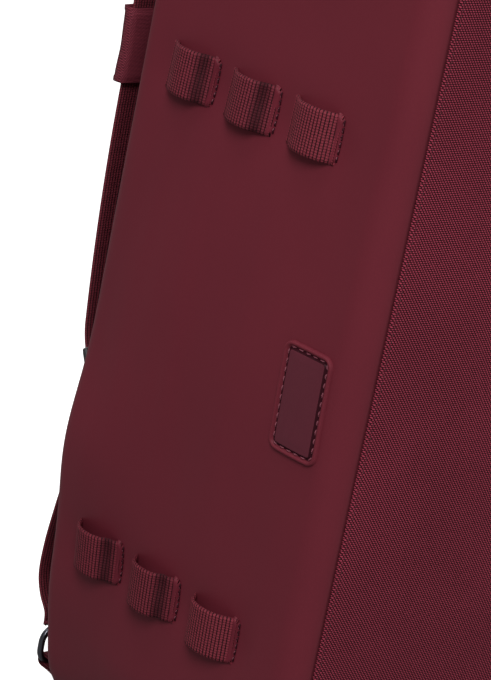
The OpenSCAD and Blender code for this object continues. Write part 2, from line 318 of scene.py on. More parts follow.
def pillow(name, width, height, radius, place, rings=9, flip=False):
    """A filled rounded rectangle made of rings. place(x, y, depth) gives a point in space for a
    spot of the flat shape, depth being its distance from the edge."""
    points, uvs = [], []
    reach = min(width, height) / 2
    per_ring = 0
    for ring in range(rings + 1):
        inset = reach * 0.985 * (ring / rings) ** 1.3
        outline = round_rect_path(width - 2 * inset, height - 2 * inset,
                                  max(radius - inset, 0.3 * (1 - ring / rings) + 0.05))
        per_ring = len(outline)
        for x, y in outline:
            points.append(place(x, y, inset))
            uvs.append((x, y))
    faces = grid_faces(rings + 1, per_ring, loop_columns=True)
    faces.append(tuple(range(len(points) - per_ring, len(points))))
    if flip:
        faces = [tuple(reversed(face)) for face in faces]
    return make_mesh(name, points, faces, uvs)


def join(name, pieces):
    """Makes one object of several meshes, keeping their materials."""
    bpy.ops.object.select_all(action="DESELECT")
    for piece in pieces:
        piece.select_set(True)
    bpy.context.view_layer.objects.active = pieces[0]
    bpy.ops.object.join()
    pieces[0].name = name
    pieces[0].data.name = name
    return pieces[0]


def finish_piece(obj, body, material, replaces=()):
    """Material, body, slot and the CAD nodes that a piece stands for. A joined piece has its
    materials already, so it's given none."""
    materials = material if isinstance(material, (list, tuple)) else [material]
    for entry in materials:
        obj.data.materials.append(entry)
    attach(obj, body)
    if replaces:
        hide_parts(*replaces)
    return obj


# ---------- materials ----------

class Nodes:
    """Short hand for building a material's node tree."""

    def __init__(self, name):
        self.material = bpy.data.materials.new(name)
        self.material.use_nodes = True
        self.tree = self.material.node_tree
        self.shader = self.tree.nodes["Principled BSDF"]

    def add(self, kind, **settings):
        node = self.tree.nodes.new(kind)
        for key, value in settings.items():
            setattr(node, key, value)
        return node

    def plug(self, value, socket):
        if isinstance(value, bpy.types.NodeSocket):
            self.tree.links.new(value, socket)
        else:
            socket.default_value = value

    def math(self, operation, a, b=0.0, c=0.0):
        node = self.add("ShaderNodeMath", operation=operation)
        for value, socket in zip((a, b, c), node.inputs):
            self.plug(value, socket)
        return node.outputs[0]

    def step(self, value, low, high):
        node = self.add("ShaderNodeMapRange", interpolation_type="SMOOTHSTEP")
        self.plug(value, node.inputs["Value"])
        node.inputs["From Min"].default_value = low
        node.inputs["From Max"].default_value = high
        return node.outputs["Result"]

    def place(self, kind="Object"):
        return self.add("ShaderNodeTexCoord").outputs[kind]

    def split(self, vector):
        node = self.add("ShaderNodeSeparateXYZ")
        self.plug(vector, node.inputs[0])
        return node.outputs

    def noise(self, scale, detail=2.0):
        node = self.add("ShaderNodeTexNoise")
        self.plug(self.place(), node.inputs["Vector"])
        node.inputs["Scale"].default_value = scale
        node.inputs["Detail"].default_value = detail
        return node.outputs["Fac"]

    def blend(self, share, a, b):
        node = self.add("ShaderNodeMix", data_type="RGBA")
        self.plug(share, node.inputs[0])
        self.plug(a, node.inputs[6])
        self.plug(b, node.inputs[7])
        return node.outputs[2]

    def bump(self, height, distance, strength=1.0):
        node = self.add("ShaderNodeBump")
        self.plug(height, node.inputs["Height"])
        node.inputs["Distance"].default_value = distance
        node.inputs["Strength"].default_value = strength
        return node.outputs["Normal"]

    def done(self, colour, roughness, normal=None, **sockets):
        self.plug(colour, self.shader.inputs["Base Color"])
        self.plug(roughness, self.shader.inputs["Roughness"])
        if normal is not None:
            self.plug(normal, self.shader.inputs["Normal"])
        for key, value in sockets.items():
            self.shader.inputs[key.replace("_", " ")].default_value = value
        return self.material


def coated_material(name, base, dark):
    """Smooth satin coating: a fine grain, slow changes of tone and of gloss."""
    n = Nodes(name)
    slow = n.noise(9, 3)
    grain = n.noise(1500, 2)
    pebble = n.noise(420, 2)
    colour = n.blend(n.step(slow, 0.3, 0.75), dark, base)
    colour = n.blend(n.math("MULTIPLY", n.step(grain, 0.35, 0.75), 0.10), colour,
                     tuple(min(1, v * 1.7) for v in base[:3]) + (1,))
    rough = n.math("MULTIPLY_ADD", slow, 0.10, 0.40)
    rough = n.math("MULTIPLY_ADD", grain, 0.06, rough)
    height = n.math("ADD", n.math("MULTIPLY", grain, 0.4), pebble)
    return n.done(colour, rough, n.bump(height, 0.00006, 0.55), Specular_IOR_Level=0.11)


def twill_material(name, base, dark, pitch=1.72, row_pitch=1.06):
    """Ballistic twill: round bumps of yarn on slanting rows, with dark gaps between them."""
    n = Nodes(name)
    axes = n.split(n.place())
    a = n.math("MULTIPLY", axes[0], 1 / (pitch * MM))
    b = n.math("MULTIPLY", axes[2], 1 / (row_pitch * MM))
    wobble = n.math("MULTIPLY", n.math("SUBTRACT", n.noise(90, 2), 0.5), 0.3)
    a = n.math("ADD", a, wobble)
    row = n.math("FLOOR", b)
    shifted = n.math("MULTIPLY_ADD", row, 0.5, a)
    u = n.math("SUBTRACT", n.math("FRACT", shifted), 0.5)
    v = n.math("SUBTRACT", n.math("FRACT", b), 0.5)
    slanted = n.math("MULTIPLY_ADD", v, 0.25, u)
    far = n.math("SQRT", n.math("ADD", n.math("MULTIPLY", slanted, slanted),
                                n.math("MULTIPLY", v, v)))
    yarn = n.math("SUBTRACT", 1.0, n.step(far, 0.16, 0.52))
    slow = n.noise(14, 3)
    light = n.blend(n.step(slow, 0.3, 0.7), base, tuple(v * 0.86 for v in base[:3]) + (1,))
    colour = n.blend(yarn, dark, light)
    normal = n.bump(yarn, 0.0004, 0.6)
    return n.done(colour, n.math("MULTIPLY_ADD", yarn, -0.14, 0.72), normal,
                  Specular_IOR_Level=0.12)


def webbing_material(name, base, dark, crease=None, ribs=(0, 1)):
    """Ribbed webbing: columns of small knots, in the mesh's own millimetres. A creased one has a band
    of painted shade round the given place along its length. ribs says which way the columns stand."""
    n = Nodes(name)
    axes = n.split(n.place("UV"))
    a = n.math("MULTIPLY", axes[ribs[0]], 1 / WEB_PITCH)
    b = n.math("MULTIPLY", axes[ribs[1]], 1 / WEB_ROW)
    column = n.math("FLOOR", n.math("ADD", a, 0.5))
    u = n.math("SUBTRACT", n.math("FRACT", n.math("ADD", a, 0.5)), 0.5)
    drift = n.math("MULTIPLY", n.math("SINE", n.math("MULTIPLY", column, 2.1)), 0.12)
    v = n.math("SUBTRACT", n.math("FRACT", n.math("ADD", drift, b)), 0.5)
    slanted = n.math("MULTIPLY_ADD", n.math("ABSOLUTE", u), 0.5, v)
    rib = n.math("SUBTRACT", 1.0, n.step(n.math("ABSOLUTE", u), 0.18, 0.5))
    knot = n.math("SUBTRACT", 1.0, n.step(n.math("ABSOLUTE", slanted), 0.14, 0.5))
    height = n.math("MULTIPLY", rib, n.math("MULTIPLY_ADD", knot, 0.6, 0.4))
    fuzz = n.noise(900, 2)
    colour = n.blend(n.step(height, 0.05, 0.75), dark, base)
    colour = n.blend(n.math("MULTIPLY", n.step(fuzz, 0.45, 0.8), 0.25), colour,
                     tuple(min(1, v * 1.5) for v in base[:3]) + (1,))
    # Painted shade: a dark band across the web at its crease, where the dip would be in shade.
    if crease:
        away = n.step(n.math("ABSOLUTE", n.math("ADD", axes[0], -crease)), 0.4, 6.0)
        colour = n.blend(n.math("MULTIPLY_ADD", away, 0.72, 0.28), dark, colour)
    normal = n.bump(n.math("MULTIPLY_ADD", fuzz, 0.15, height), 0.0004, 0.7)
    return n.done(colour, 0.7, normal, Specular_IOR_Level=0.15)


def thread_material(name, base, dark):
    n = Nodes(name)
    axes = n.split(n.place())
    wave = n.math("SINE", n.math("MULTIPLY", n.math("ADD", axes[2], axes[0]), 9000.0))
    twist = n.math("MULTIPLY_ADD", wave, 0.5, 0.5)
    return n.done(n.blend(twist, dark, base), 0.6, n.bump(twist, 0.0001, 0.6))


def mesh_material(name, base, dark):
    """Spacer mesh: rows of small dark holes."""
    n = Nodes(name)
    cells = n.add("ShaderNodeTexVoronoi", feature="F1")
    n.plug(n.place(), cells.inputs["Vector"])
    cells.inputs["Scale"].default_value = 330
    cells.inputs["Randomness"].default_value = 0.35
    hole = n.step(cells.outputs["Distance"], 0.18, 0.42)
    soft = n.noise(30, 3)
    colour = n.blend(hole, dark, n.blend(soft, base, tuple(v * 0.8 for v in base[:3]) + (1,)))
    return n.done(colour, 0.8, n.bump(hole, 0.0004, 0.8), Sheen_Weight=0.12)


# Radians of the weave's wave in one metre: a thread every 1.2 mm
WEAVE_TURN = 5200.0


def cloth_material(name, base, dark):
    """Plain woven lining."""
    n = Nodes(name)
    axes = n.split(n.place())
    total = None
    for axis in range(3):
        wave = n.math("SINE", n.math("MULTIPLY", axes[axis], WEAVE_TURN))
        total = wave if total is None else n.math("ADD", total, wave)
    weave = n.math("MULTIPLY_ADD", total, 0.17, 0.5)
    slow = n.noise(12, 3)
    colour = n.blend(n.math("MULTIPLY", weave, 0.6), dark,
                     n.blend(slow, base, tuple(v * 0.75 for v in base[:3]) + (1,)))
    return n.done(colour, 0.72, n.bump(weave, 0.00012, 0.6), Specular_IOR_Level=0.3)


def metal_material(name, base, dark):
    """Dark plated steel with fine scratches, lighter where it rubs."""
    n = Nodes(name)
    fine = n.noise(700, 3)
    patch = n.noise(60, 3)
    worn = n.step(patch, 0.5, 0.8)
    colour = n.blend(worn, dark, base)
    rough = n.math("MULTIPLY_ADD", fine, 0.16, 0.22)
    return n.done(colour, rough, n.bump(fine, 0.00002, 0.5), Metallic=1.0)


def plastic_material(name, base, dark):
    """Moulded plastic with a fine spark-eroded texture."""
    n = Nodes(name)
    fine = n.noise(1400, 3)
    slow = n.noise(25, 2)
    colour = n.blend(slow, dark, base)
    rough = n.math("MULTIPLY_ADD", slow, 0.12, 0.42)
    return n.done(colour, rough, n.bump(fine, 0.00004, 0.6))


COATED = coated_material("coated_fabric", srgb(105, 37, 48), srgb(100, 35, 46))
BADGE_INNER = coated_material("badge_plate", srgb(92, 39, 50), srgb(88, 37, 48))
TWILL = twill_material("ballistic_twill", srgb(176, 66, 87), srgb(27, 1, 6))
TWILL_FINE = twill_material("fine_twill", srgb(142, 58, 72), srgb(76, 23, 35), 0.9, 0.66)
WEBBING = webbing_material("ribbed_webbing", srgb(126, 46, 58), srgb(34, 6, 13))
# WEBBING_DIM is a darker copy of the loop webbing: painted shade for the harness webbing, which lies
# in shade at the bag's back edge.
WEBBING_DIM = webbing_material("strap_webbing", srgb(104, 36, 47), srgb(28, 5, 11),
                               ribs=(1, 0))
THREAD = thread_material("thread", srgb(150, 74, 90), srgb(80, 26, 38))
THREAD_DARK = thread_material("dark_thread", srgb(70, 24, 34), srgb(38, 10, 18))
MESH = mesh_material("spacer_mesh", srgb(84, 34, 44), srgb(28, 8, 14))
LINING = cloth_material("lining", srgb(70, 50, 54), srgb(40, 26, 30))
TAPE = cloth_material("zip_tape", srgb(86, 34, 44), srgb(56, 18, 26))
COIL = plastic_material("zip_coil", srgb(62, 24, 32), srgb(44, 16, 24))
GUNMETAL = metal_material("gunmetal", (0.30, 0.30, 0.33, 1), (0.10, 0.10, 0.115, 1))
PLASTIC = plastic_material("black_plastic", (0.028, 0.026, 0.028, 1), (0.016, 0.015, 0.017, 1))
BOARD = plastic_material("frame_plastic", (0.045, 0.044, 0.048, 1), (0.03, 0.03, 0.032, 1))


# ---------- the shell's surface ----------

HALF_TURN = math.pi / 2
ARC = CORNER_R * HALF_TURN
RUN_X = HALF_W - CORNER_R
RUN_Z = TOP_Z - 2 * CORNER_R
PROFILE_BACK = BACK_R * HALF_TURN
PROFILE_FLAT = BACK_Y - FRONT_Y - BACK_R - EDGE_R
PROFILE_FRONT = EDGE_R * HALF_TURN
PROFILE = PROFILE_BACK + PROFILE_FLAT + PROFILE_FRONT
SIDE_START = RUN_X
SIDE_END = RUN_X + 2 * ARC + RUN_Z


def outline(t):
    """Place and outward direction, in X and Z, at t along the outline from the middle of the base
    up the left side to the middle of the top."""
    if t < RUN_X:
        return -t, 0, 0, -1
    t -= RUN_X
    if t < ARC:
        angle = t / CORNER_R
        nx, nz = -math.sin(angle), -math.cos(angle)
        return -RUN_X + nx * CORNER_R, CORNER_R + nz * CORNER_R, nx, nz
    t -= ARC
    if t < RUN_Z:
        return -HALF_W, CORNER_R + t, -1, 0
    t -= RUN_Z
    if t < ARC:
        angle = t / CORNER_R
        nx, nz = -math.cos(angle), math.sin(angle)
        return -RUN_X + nx * CORNER_R, TOP_Z - CORNER_R + nz * CORNER_R, nx, nz
    t -= ARC
    return -RUN_X + t, TOP_Z, 0, 1


def profile(q):
    """Inset from the outline, depth, and the outward direction, at q along the gusset's section
    from the back seam to the front seam."""
    if q < PROFILE_BACK:
        angle = q / BACK_R
        out, back = math.sin(angle), math.cos(angle)
        return BACK_R * (out - 1), BACK_Y - BACK_R + BACK_R * back, out, back
    q -= PROFILE_BACK
    if q < PROFILE_FLAT:
        return 0, BACK_Y - BACK_R - q, 1, 0
    angle = (q - PROFILE_FLAT) / EDGE_R
    out, back = math.cos(angle), -math.sin(angle)
    return EDGE_R * (out - 1), FRONT_Y + EDGE_R + EDGE_R * back, out, back


def side_relief(z, y):
    """How far the side panel stands out of its flat place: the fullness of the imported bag, long
    soft folds, and the pull of the stitching at the loops."""
    height = math.cos(HALF_TURN * min(abs(z - 232) / 165, 1)) ** 2
    depth = min(max((y - FRONT_Y) / (BACK_Y - FRONT_Y), 0), 1)
    across = max(math.sin(math.pi * depth ** 1.5), 0) ** 0.8
    fullness = (SIDE_BULGE * height - 1.5 * smooth(z, 300, 420)) * across
    folds = 0.9 * noise.noise(Vector((y / 26, z / 190, 3.1)))
    folds += 0.35 * noise.noise(Vector((y / 11, z / 70, 7.7)))
    folds *= 0.5 + 0.5 * height
    pull = 0
    for loop_y, loop_z in LOOP_SPOTS:
        dy, dz = (y - loop_y) / 9, (z - loop_z) / 15
        pull -= LOOP_PULL * math.exp(-(dy * dy + dz * dz))
    return fullness + folds + pull


# Height, place above the floor and spread of each bulge of the side's back edge
EDGE_BULGES = ((6, 155, 38), (7, 8, 14), (-4.8, 46, 24))


def edge_swell(z):
    """How far the side's back edge stands out, or in, of its straight place."""
    return sum(rise * math.exp(-((z - place) / spread) ** 2) for rise, place, spread in EDGE_BULGES)


def loop_spot(index):
    """Where a left-hand loop is sewn: the depth of its back end, and its height."""
    low, high = node_box(f"loop_left_{index}")
    return high.y, (low.z + high.z) / 2


LOOP_LENGTH = node_box("loop_left_1")[1].y - node_box("loop_left_1")[0].y
LOOP_SPOTS = [(loop_spot(k)[0] - s * LOOP_LENGTH, loop_spot(k)[1])
              for k in range(1, 7) for s in (0, 1)]


def gusset(t, q, side=-1, lift=0.0):
    """A point of the gusset's outer face. side is -1 on the left and 1 on the right."""
    x, z, nx, nz = outline(abs(t))
    inset, y, out, back = profile(q)
    swell = 0.0
    if nx < -0.05:
        swell = side_relief(z, y) * max(out, 0) * (-nx) ** 2
        swell += edge_swell(z) * smooth(y, MID_Y, BACK_Y - BACK_R) * (-nx) ** 2
    hem = smooth(q, PROFILE - 3, PROFILE) + 1 - smooth(q, 0, 3)
    reach = inset + swell + lift * out - 0.4 * hem
    mirror = -side if t >= 0 else side
    return Vector((mirror * (x + nx * reach), y + back * lift - 0.8 * hem * back, z + nz * reach))


def gusset_normal(t, q, side=-1):
    step = 0.5
    along = gusset(t + step, q, side) - gusset(t - step, q, side)
    around = gusset(t, min(q + step, PROFILE), side) - gusset(t, max(q - step, 0), side)
    normal = along.cross(around).normalized()
    inset, y, out, back = profile(q)
    x, z, nx, nz = outline(abs(t))
    mirror = -side if t >= 0 else side
    guess = Vector((mirror * nx * out, back, nz * out))
    return normal if normal.dot(guess) > 0 else -normal


def side_at(y, z, side=-1, lift=0.0):
    """A point on a side panel at a depth and a height."""
    t = RUN_X + ARC + z - CORNER_R
    q = PROFILE_BACK + BACK_Y - BACK_R - y
    return gusset(t, q, side, lift)


def side_normal(y, z, side=-1):
    t = RUN_X + ARC + z - CORNER_R
    return gusset_normal(t, PROFILE_BACK + BACK_Y - BACK_R - y, side)


def shell_panel(name, start, end, step, side):
    """A panel of the gusset, between two places along the outline."""
    rows = int((end - start) / step) + 1
    columns = 76
    obj = surface_grid(name + "_skin", rows, columns,
                       lambda a, b: gusset(mix(start, end, a), PROFILE * b, side),
                       lambda a, b: (mix(start, end, a), PROFILE * b), flip=side > 0)
    thicken(obj, WALL - 0.8, 1)
    finish_piece(obj, "bag", [COATED, LINING], [name])


shell_panel("side_panel_left", SIDE_START, SIDE_END, 2.5, -1)
shell_panel("side_panel_right", SIDE_START, SIDE_END, 2.5, 1)
shell_panel("base_panel", -RUN_X, RUN_X, 6, -1)
shell_panel("top_panel", SIDE_END, SIDE_END + 2 * RUN_X, 6, -1)


# ---------- front door, its seam and its zips ----------

HALF_ROUND = SIDE_END + RUN_X
DOOR_FLAT_Z = 388
SEAM_IN = EDGE_R + 0.6


def perimeter(u):
    """Place and outward direction, in X and Z, at u round the whole outline, from the middle of
    the base up the left side and down the right one."""
    u %= 2 * HALF_ROUND
    if u <= HALF_ROUND:
        return outline(u)
    x, z, nx, nz = outline(2 * HALF_ROUND - u)
    return -x, z, -nx, nz


def door_inset(u):
    """How far the door's edge lies inside the outline: close to the side at the sewn left seam,
    and behind the zip elsewhere."""
    near_top = smooth(u, SIDE_END - ARC, SIDE_END - 0.6 * ARC)
    near_base = 1 - smooth(u, RUN_X + 0.6 * ARC, RUN_X + ARC)
    return mix(SEAM_IN, DOOR_IN, min(near_top + near_base, 1))


def front_crown(x, z):
    """How far the door stands out in the middle of its lower part."""
    across = max(math.cos(HALF_TURN * min(abs(x) / (HALF_W - EDGE_R), 1)), 0) ** 0.7
    up = smooth(z, 15, 130) * (1 - smooth(z, 250, DOOR_FLAT_Z))
    folds = 0.5 * noise.noise(Vector((x / 60, z / 150, 1.3)))
    return DOOR_CROWN * across * up + folds * across * up


def front_skin():
    """The door's twill: rings that follow its edge, then close in on the middle."""
    offsets = [0, 0.3, 0.8, 1.5, 2.3, 2.9, 3.5, 4.5, 7, 11, 16, 22, 28, 34]
    dips = [2.3, 1.1, 0.35, 0.0, 0.05, 0.3, 0.05, 0, 0, 0, 0, 0, 0, 0]
    shares = [0.9, 0.78, 0.65, 0.52, 0.4, 0.28, 0.17, 0.08]
    count = 560
    places = [(perimeter(k * 2 * HALF_ROUND / count), k * 2 * HALF_ROUND / count)
              for k in range(count)]
    points, uvs = [], []

    def add(x, z, dip):
        points.append(Vector((x, FRONT_Y - front_crown(x, z) + dip, z)))
        uvs.append((x, z))
    for offset, dip in zip(offsets, dips):
        for (x, z, nx, nz), u in places:
            inset = door_inset(u) + offset
            add(x - nx * inset, z - nz * inset, dip)
    last = points[-count:]
    for share in shares:
        for point in last:
            add(point.x * share, MID_Z + (point.z - MID_Z) * share, 0)
    rings = len(offsets) + len(shares)
    faces = [tuple(reversed(face)) for face in grid_faces(rings, count, loop_columns=True)]
    add(0, MID_Z, 0)
    faces += fan(len(points) - 1, count, -1)
    obj = make_mesh("front_skin", points, faces, uvs)
    thicken(obj, WALL - 0.4, 1)
    return finish_piece(obj, "door", [TWILL, LINING], ["front_panel"])


def edge_path(start, end, step, inset, lift):
    """Points and outward directions along the front's outline at an inset from it."""
    count = max(int((end - start) / step), 2)
    path, outs = [], []
    for k in range(count + 1):
        u = mix(start, end, k / count)
        x, z, nx, nz = perimeter(u)
        reach = inset(u) if callable(inset) else inset
        px, pz = x - nx * reach, z - nz * reach
        path.append(Vector((px, FRONT_Y - front_crown(px, pz) - lift, pz)))
        outs.append(Vector((0, -1, 0)))
    return path, outs


def edge_band(name, start, end, inset, width, top, thick):
    """A flat band along the front's outline, its upper face top millimetres out of the front."""
    count = int((end - start) / 5)
    section = ((0, 0.35), (0.4, 0), (width - 0.4, 0), (width, 0.35), (width, thick), (0, thick))
    points, uvs = [], []
    for k in range(count + 1):
        u = mix(start, end, k / count)
        x, z, nx, nz = perimeter(u)
        for across, down in section:
            reach = inset + across
            points.append(Vector((x - nx * reach, FRONT_Y - top + down, z - nz * reach)))
            uvs.append((u, across))
    faces = grid_faces(count + 1, len(section), loop_columns=True)
    faces.append(tuple(reversed(range(len(section)))))
    faces.append(tuple(range(len(points) - len(section), len(points))))
    return make_mesh(name, points, faces, uvs)


ZIP_START = SIDE_END - 0.7 * ARC
ZIP_END = 2 * HALF_ROUND + RUN_X + 0.7 * ARC
ZIP_TAIL = 0.27 * ARC


def zip_half(name, body, node, tape_in, tape_w, coil_in, phase):
    """One half of the main zip: its tape and the row of teeth along the tape's edge."""
    tape = edge_band(name + "_tape_part", ZIP_START - ZIP_TAIL, ZIP_END + ZIP_TAIL, tape_in,
                     tape_w, 0.5, 1.9)
    tape.data.materials.append(TAPE)
    path, outs = edge_path(ZIP_START + phase, ZIP_END + phase - 2, 4, coil_in, 0.3)
    flat = [Vector((p.x, FRONT_Y - 0.3, p.z)) for p in path]
    teeth = stitches(name + "_teeth", flat, outs, 3.1, 2.0, 0.62, 0.0, True)
    teeth.data.materials.append(COIL)
    finish_piece(join(name, [tape, teeth]), body, (), [node])


def seam_stitching():
    """The topstitch that follows the door's edge, lying in its own shallow groove."""
    path, outs = edge_path(0, 2 * HALF_ROUND - 1, 3, lambda u: door_inset(u) + 2.9, -0.35)
    obj = stitches("door_topstitch", path, outs, 2.5, 3.4, 0.2, 0.1)
    return finish_piece(obj, "door", THREAD_DARK)


def pocket_front():
    """The straight pocket zip across the door: tape, teeth and two rows of stitching."""
    low, high = node_box("pocket_zip")
    middle_z = (low.z + high.z) / 2
    x0, x1 = low.x, high.x
    half = 8.5
    place = Vector(((x0 + x1) / 2, FRONT_Y - 0.4, middle_z))
    tape = pillow("pocket_zip_tape_part", x1 - x0 + 4, 2 * half, 1.5,
                  lambda x, z, d: place + Vector((x, -0.5 * smooth(d, 0, 0.8), z)), 5)
    tape.data.materials.append(TAPE)
    line = [Vector((x, FRONT_Y - 1.0, middle_z)) for x in steps(x0 + 2, x1 - 2, 40)]
    outs = [Vector((0, -1, 0))] * len(line)
    coil = stitches("pocket_zip_teeth_part", line, outs, 4.2, 1.7, 0.6, 0.0, True)
    coil.data.materials.append(COIL)
    rows = []
    for s in (-1, 1):
        row = [p + Vector((0, 0.3, s * 6.4)) for p in line]
        thread = stitches(f"pocket_row_{s}", row, outs, 2.4, 3.3, 0.25, 0.1)
        thread.data.materials.append(THREAD_DARK)
        rows.append(thread)
    obj = join("pocket_zip_front", [tape, coil] + rows)
    finish_piece(obj, "door", (), ["pocket_zip"])


front_skin()
seam_stitching()
pocket_front()
zip_half("body_zip", "bag", "zip_coil_body", EDGE_R - 1.5, 5.2, EDGE_R + 2.4, 0)
zip_half("door_zip", "door", "zip_coil_door", EDGE_R + 4.6, 4.3, EDGE_R + 6.1, 1.0)


# ---------- lash loops ----------

LOOP_TOP_ROW = ((0, 0.9), (2, 1.5), (4.5, 3.5), (8.5, 5.7), (13.5, 6.6), (19, 6.3), (24.5, 4.8),
                (27.8, 2.4), (29.2, 1.2), (30.3, 0.9), (31.5, 0.9))
LOOP_LOW_ROW = ((0, 0.9), (1.2, 2.4), (3.2, 5.0), (7, 7.0), (13, 7.6), (19, 6.8), (24.5, 4.8),
                (27.8, 2.4), (29.2, 1.2), (30.3, 0.9), (31.5, 0.9))
LOOP_WIDE = node_box("loop_left_1")[1].z - node_box("loop_left_1")[0].z - 1.2
LOOP_THICK = 1.6
LOOP_SHIFT = {1: 2.6, 2: 1.0, 4: 1.0, 5: -0.8, 6: -1.6}
LOOP_RISE = {1: 1.6, 2: 1.4, 3: 2.2, 4: 2.6, 5: 1.6, 6: 0.0}
SLIT = 29.2
STRIP_END = 32.6


def loop_crease(depth, share):
    """The dent that runs down most of the loops, two thirds of the way along. Its dark look is painted
    shade in the loops' webbing material.
    """
    def crease(along, sideways):
        dent = math.exp(-((along - 28) / 2.8) ** 2)
        return -depth * dent * (0.7 + 0.3 * math.sin(sideways / 4 + share))
    return crease


def lash_loop(index, side):
    """One loop: its webbing, the folded strip of shell fabric over its front end, and its
    stitches, with dark capsules of painted shade under the outer row."""
    word = side_word(side)
    back_y, mid = loop_spot(index)
    back_y -= LOOP_SHIFT.get(index, 0)
    mid += LOOP_RISE[index]
    rng = random.Random(20 + index + 10 * side)
    tall = 1 + 0.06 * rng.uniform(-1, 1)
    skew = rng.uniform(-0.5, 0.5)
    normal = side_normal(back_y - 15, mid, side)
    up = (side_at(back_y - 15, mid + 10, side) - side_at(back_y - 15, mid - 10, side)).normalized()

    def spot(m, n, z=0.0):
        base = side_at(back_y - m, mid + z, side)
        return base + normal * (n * tall)
    key_points = [spot(m, n) for m, n in (LOOP_TOP_ROW if index <= 3 else LOOP_LOW_ROW)]
    depth = 0.2 if index in (3, 6) else 2.3
    web = ribbon(f"loop_{word}_{index}_web", resample(key_points, 150), up, LOOP_WIDE, LOOP_THICK,
                 relief=0.26, steps_wide=14, crease=loop_crease(depth, skew))
    # Loops 3 and 6 keep plain webbing; the others get webbing with painted shade at the crease.
    web.data.materials.append(LOOP_WEBBING[0 if index in (3, 6) else 1 if index < 3 else 2])
    half = LOOP_WIDE / 2

    def strip_point(a, b):
        m = mix(SLIT - 1.2, STRIP_END + 0.4, a)
        reach = mix(half + 0.6, half - 1.8, smooth(m, SLIT, STRIP_END))
        z = mix(-reach, reach, b)
        edge = min((m - SLIT + 1.2) / 1.6, 1) ** 0.5 * (1 - smooth(m, STRIP_END - 1.2, STRIP_END))
        ends = 1 - smooth(abs(z), reach - 1.4, reach)
        lift = (1.55 * edge + 0.35 * math.sin(math.pi * min(a * 1.6, 1))) * ends
        return spot(m, lift - 0.1 + 0.25 * (1 - a), z)
    strip = surface_grid(f"loop_strip_{index}_{word}", 22, 26, strip_point, flip=side > 0)
    strip.data.materials.append(COATED_EDGE)
    rows = [strip]
    for m, lift in ((STRIP_END - 0.2, 0.4), (0.9, 0.75)):
        line = [spot(m, lift, z) for z in steps(half - 1.9, -half + 1.9, 24)]
        thread = stitches(f"loop_row_{index}_{word}_{m}", line, [normal] * len(line), 2.3, 3.3,
                          0.38, 0.05)
        thread.data.materials.append(THREAD)
        rows.append(thread)
    # Painted shade: dark capsules sunk under the outer stitch row, where the thread lies in shade.
    shade_spots = [spot(STRIP_END - 0.2, 0.32, z) for z in steps(half - 1.6, -half + 1.6, 24)]
    shade = stitches(f"loop_shade_{index}_{word}", shade_spots, [normal] * len(shade_spots), 3.2, 3.3, 0.55,
                     0.3)
    shade.data.materials.append(SHADOW)
    rows.append(shade)
    obj = join(f"loop_{word}_{index}_strap", [web] + rows)
    finish_piece(obj, "bag", (), [f"loop_{word}_{index}"])


def length_at(row, along):
    """How far along a loop's own length the place over a depth lies."""
    total = 0
    for (m0, n0), (m1, n1) in zip(row, row[1:]):
        step = math.hypot(m1 - m0, n1 - n0)
        if m1 >= along:
            return total + step * (along - m0) / (m1 - m0)
        total += step
    return total


# The upper and lower rows get webbing with a band of painted shade at the crease, 25.5 mm deep along
# the loop.
LOOP_WEBBING = [WEBBING]
for row_name, row_shape in (("upper", LOOP_TOP_ROW), ("lower", LOOP_LOW_ROW)):
    LOOP_WEBBING.append(webbing_material("crease_shaded_webbing_" + row_name, srgb(118, 42, 54),
                                         srgb(36, 5, 12), length_at(row_shape, 25.5)))
COATED_EDGE = coated_material("coated_fold", srgb(106, 36, 48), srgb(92, 28, 40))
# SHADOW is painted shade: a dark coating put in the badge's groove and round the loops' outer stitch
# rows.
SHADOW = coated_material("painted_groove_shade", srgb(52, 12, 22), srgb(44, 9, 18))
for loop_side in (-1, 1):
    for loop_index in range(1, 7):
        lash_loop(loop_index, loop_side)


# ---------- badge ----------

def badge():
    """A sewn-on badge: a rolled rim, a groove with its stitches, and a plain raised plate."""
    low, high = node_box("badge")
    wide, tall = high.y - low.y - 1.5, high.z - low.z
    middle_y, middle_z = (low.y + high.y) / 2 - 2.4, (low.z + high.z) / 2 + 1.6
    normal = side_normal(middle_y, middle_z)
    heights = ((0, -0.3), (0.3, 1.1), (0.8, 1.8), (1.5, 1.85), (2.1, 1.4), (2.5, 0.5), (3.4, 0.45),
               (3.8, 1.0), (4.4, 1.5), (8, 1.65), (40, 1.8))

    def height(depth):
        for (d0, h0), (d1, h1) in zip(heights, heights[1:]):
            if depth <= d1:
                return mix(h0, h1, smooth(depth, d0, d1))
        return heights[-1][1]

    def place(x, z, depth):
        ripple = 0.12 * noise.noise(Vector((x / 6, z / 6, 4.4)))
        return side_at(middle_y - x + 0.03 * z, middle_z + z) + normal * (height(depth) + ripple)
    corner, rings = 5.5, 34
    body = pillow("badge_body_part", wide, tall, corner, place, rings)
    for material in (COATED, BADGE_INNER, SHADOW):
        body.data.materials.append(material)
    per_ring = len(round_rect_path(wide, tall, corner))
    # Rim and plate take coated fabric; the groove between them takes SHADOW, painted shade for its
    # depth.
    for number, face in enumerate(body.data.polygons):
        ring = number // per_ring
        depth = min(wide, tall) / 2 * 0.985 * (ring / rings) ** 1.3
        face.material_index = 1 if depth > 3.9 else 2 if depth > 2.45 else 0
    inset = 3.0
    outline_points = round_rect_path(wide - 2 * inset, tall - 2 * inset, 2.6, 14, 6)
    line = [place(x, z, inset) for x, z in outline_points]
    line.append(line[0])
    thread = stitches("badge_row_part", line, [normal] * len(line), 2.9, 4.5, 0.4, -0.1)
    thread.data.materials.append(THREAD)
    finish_piece(join("badge_patch", [body, thread]), "bag", (), ["badge"])


badge()


# ---------- cushions ----------

CUSHIONS = []
PUFF_FRAMES = 20


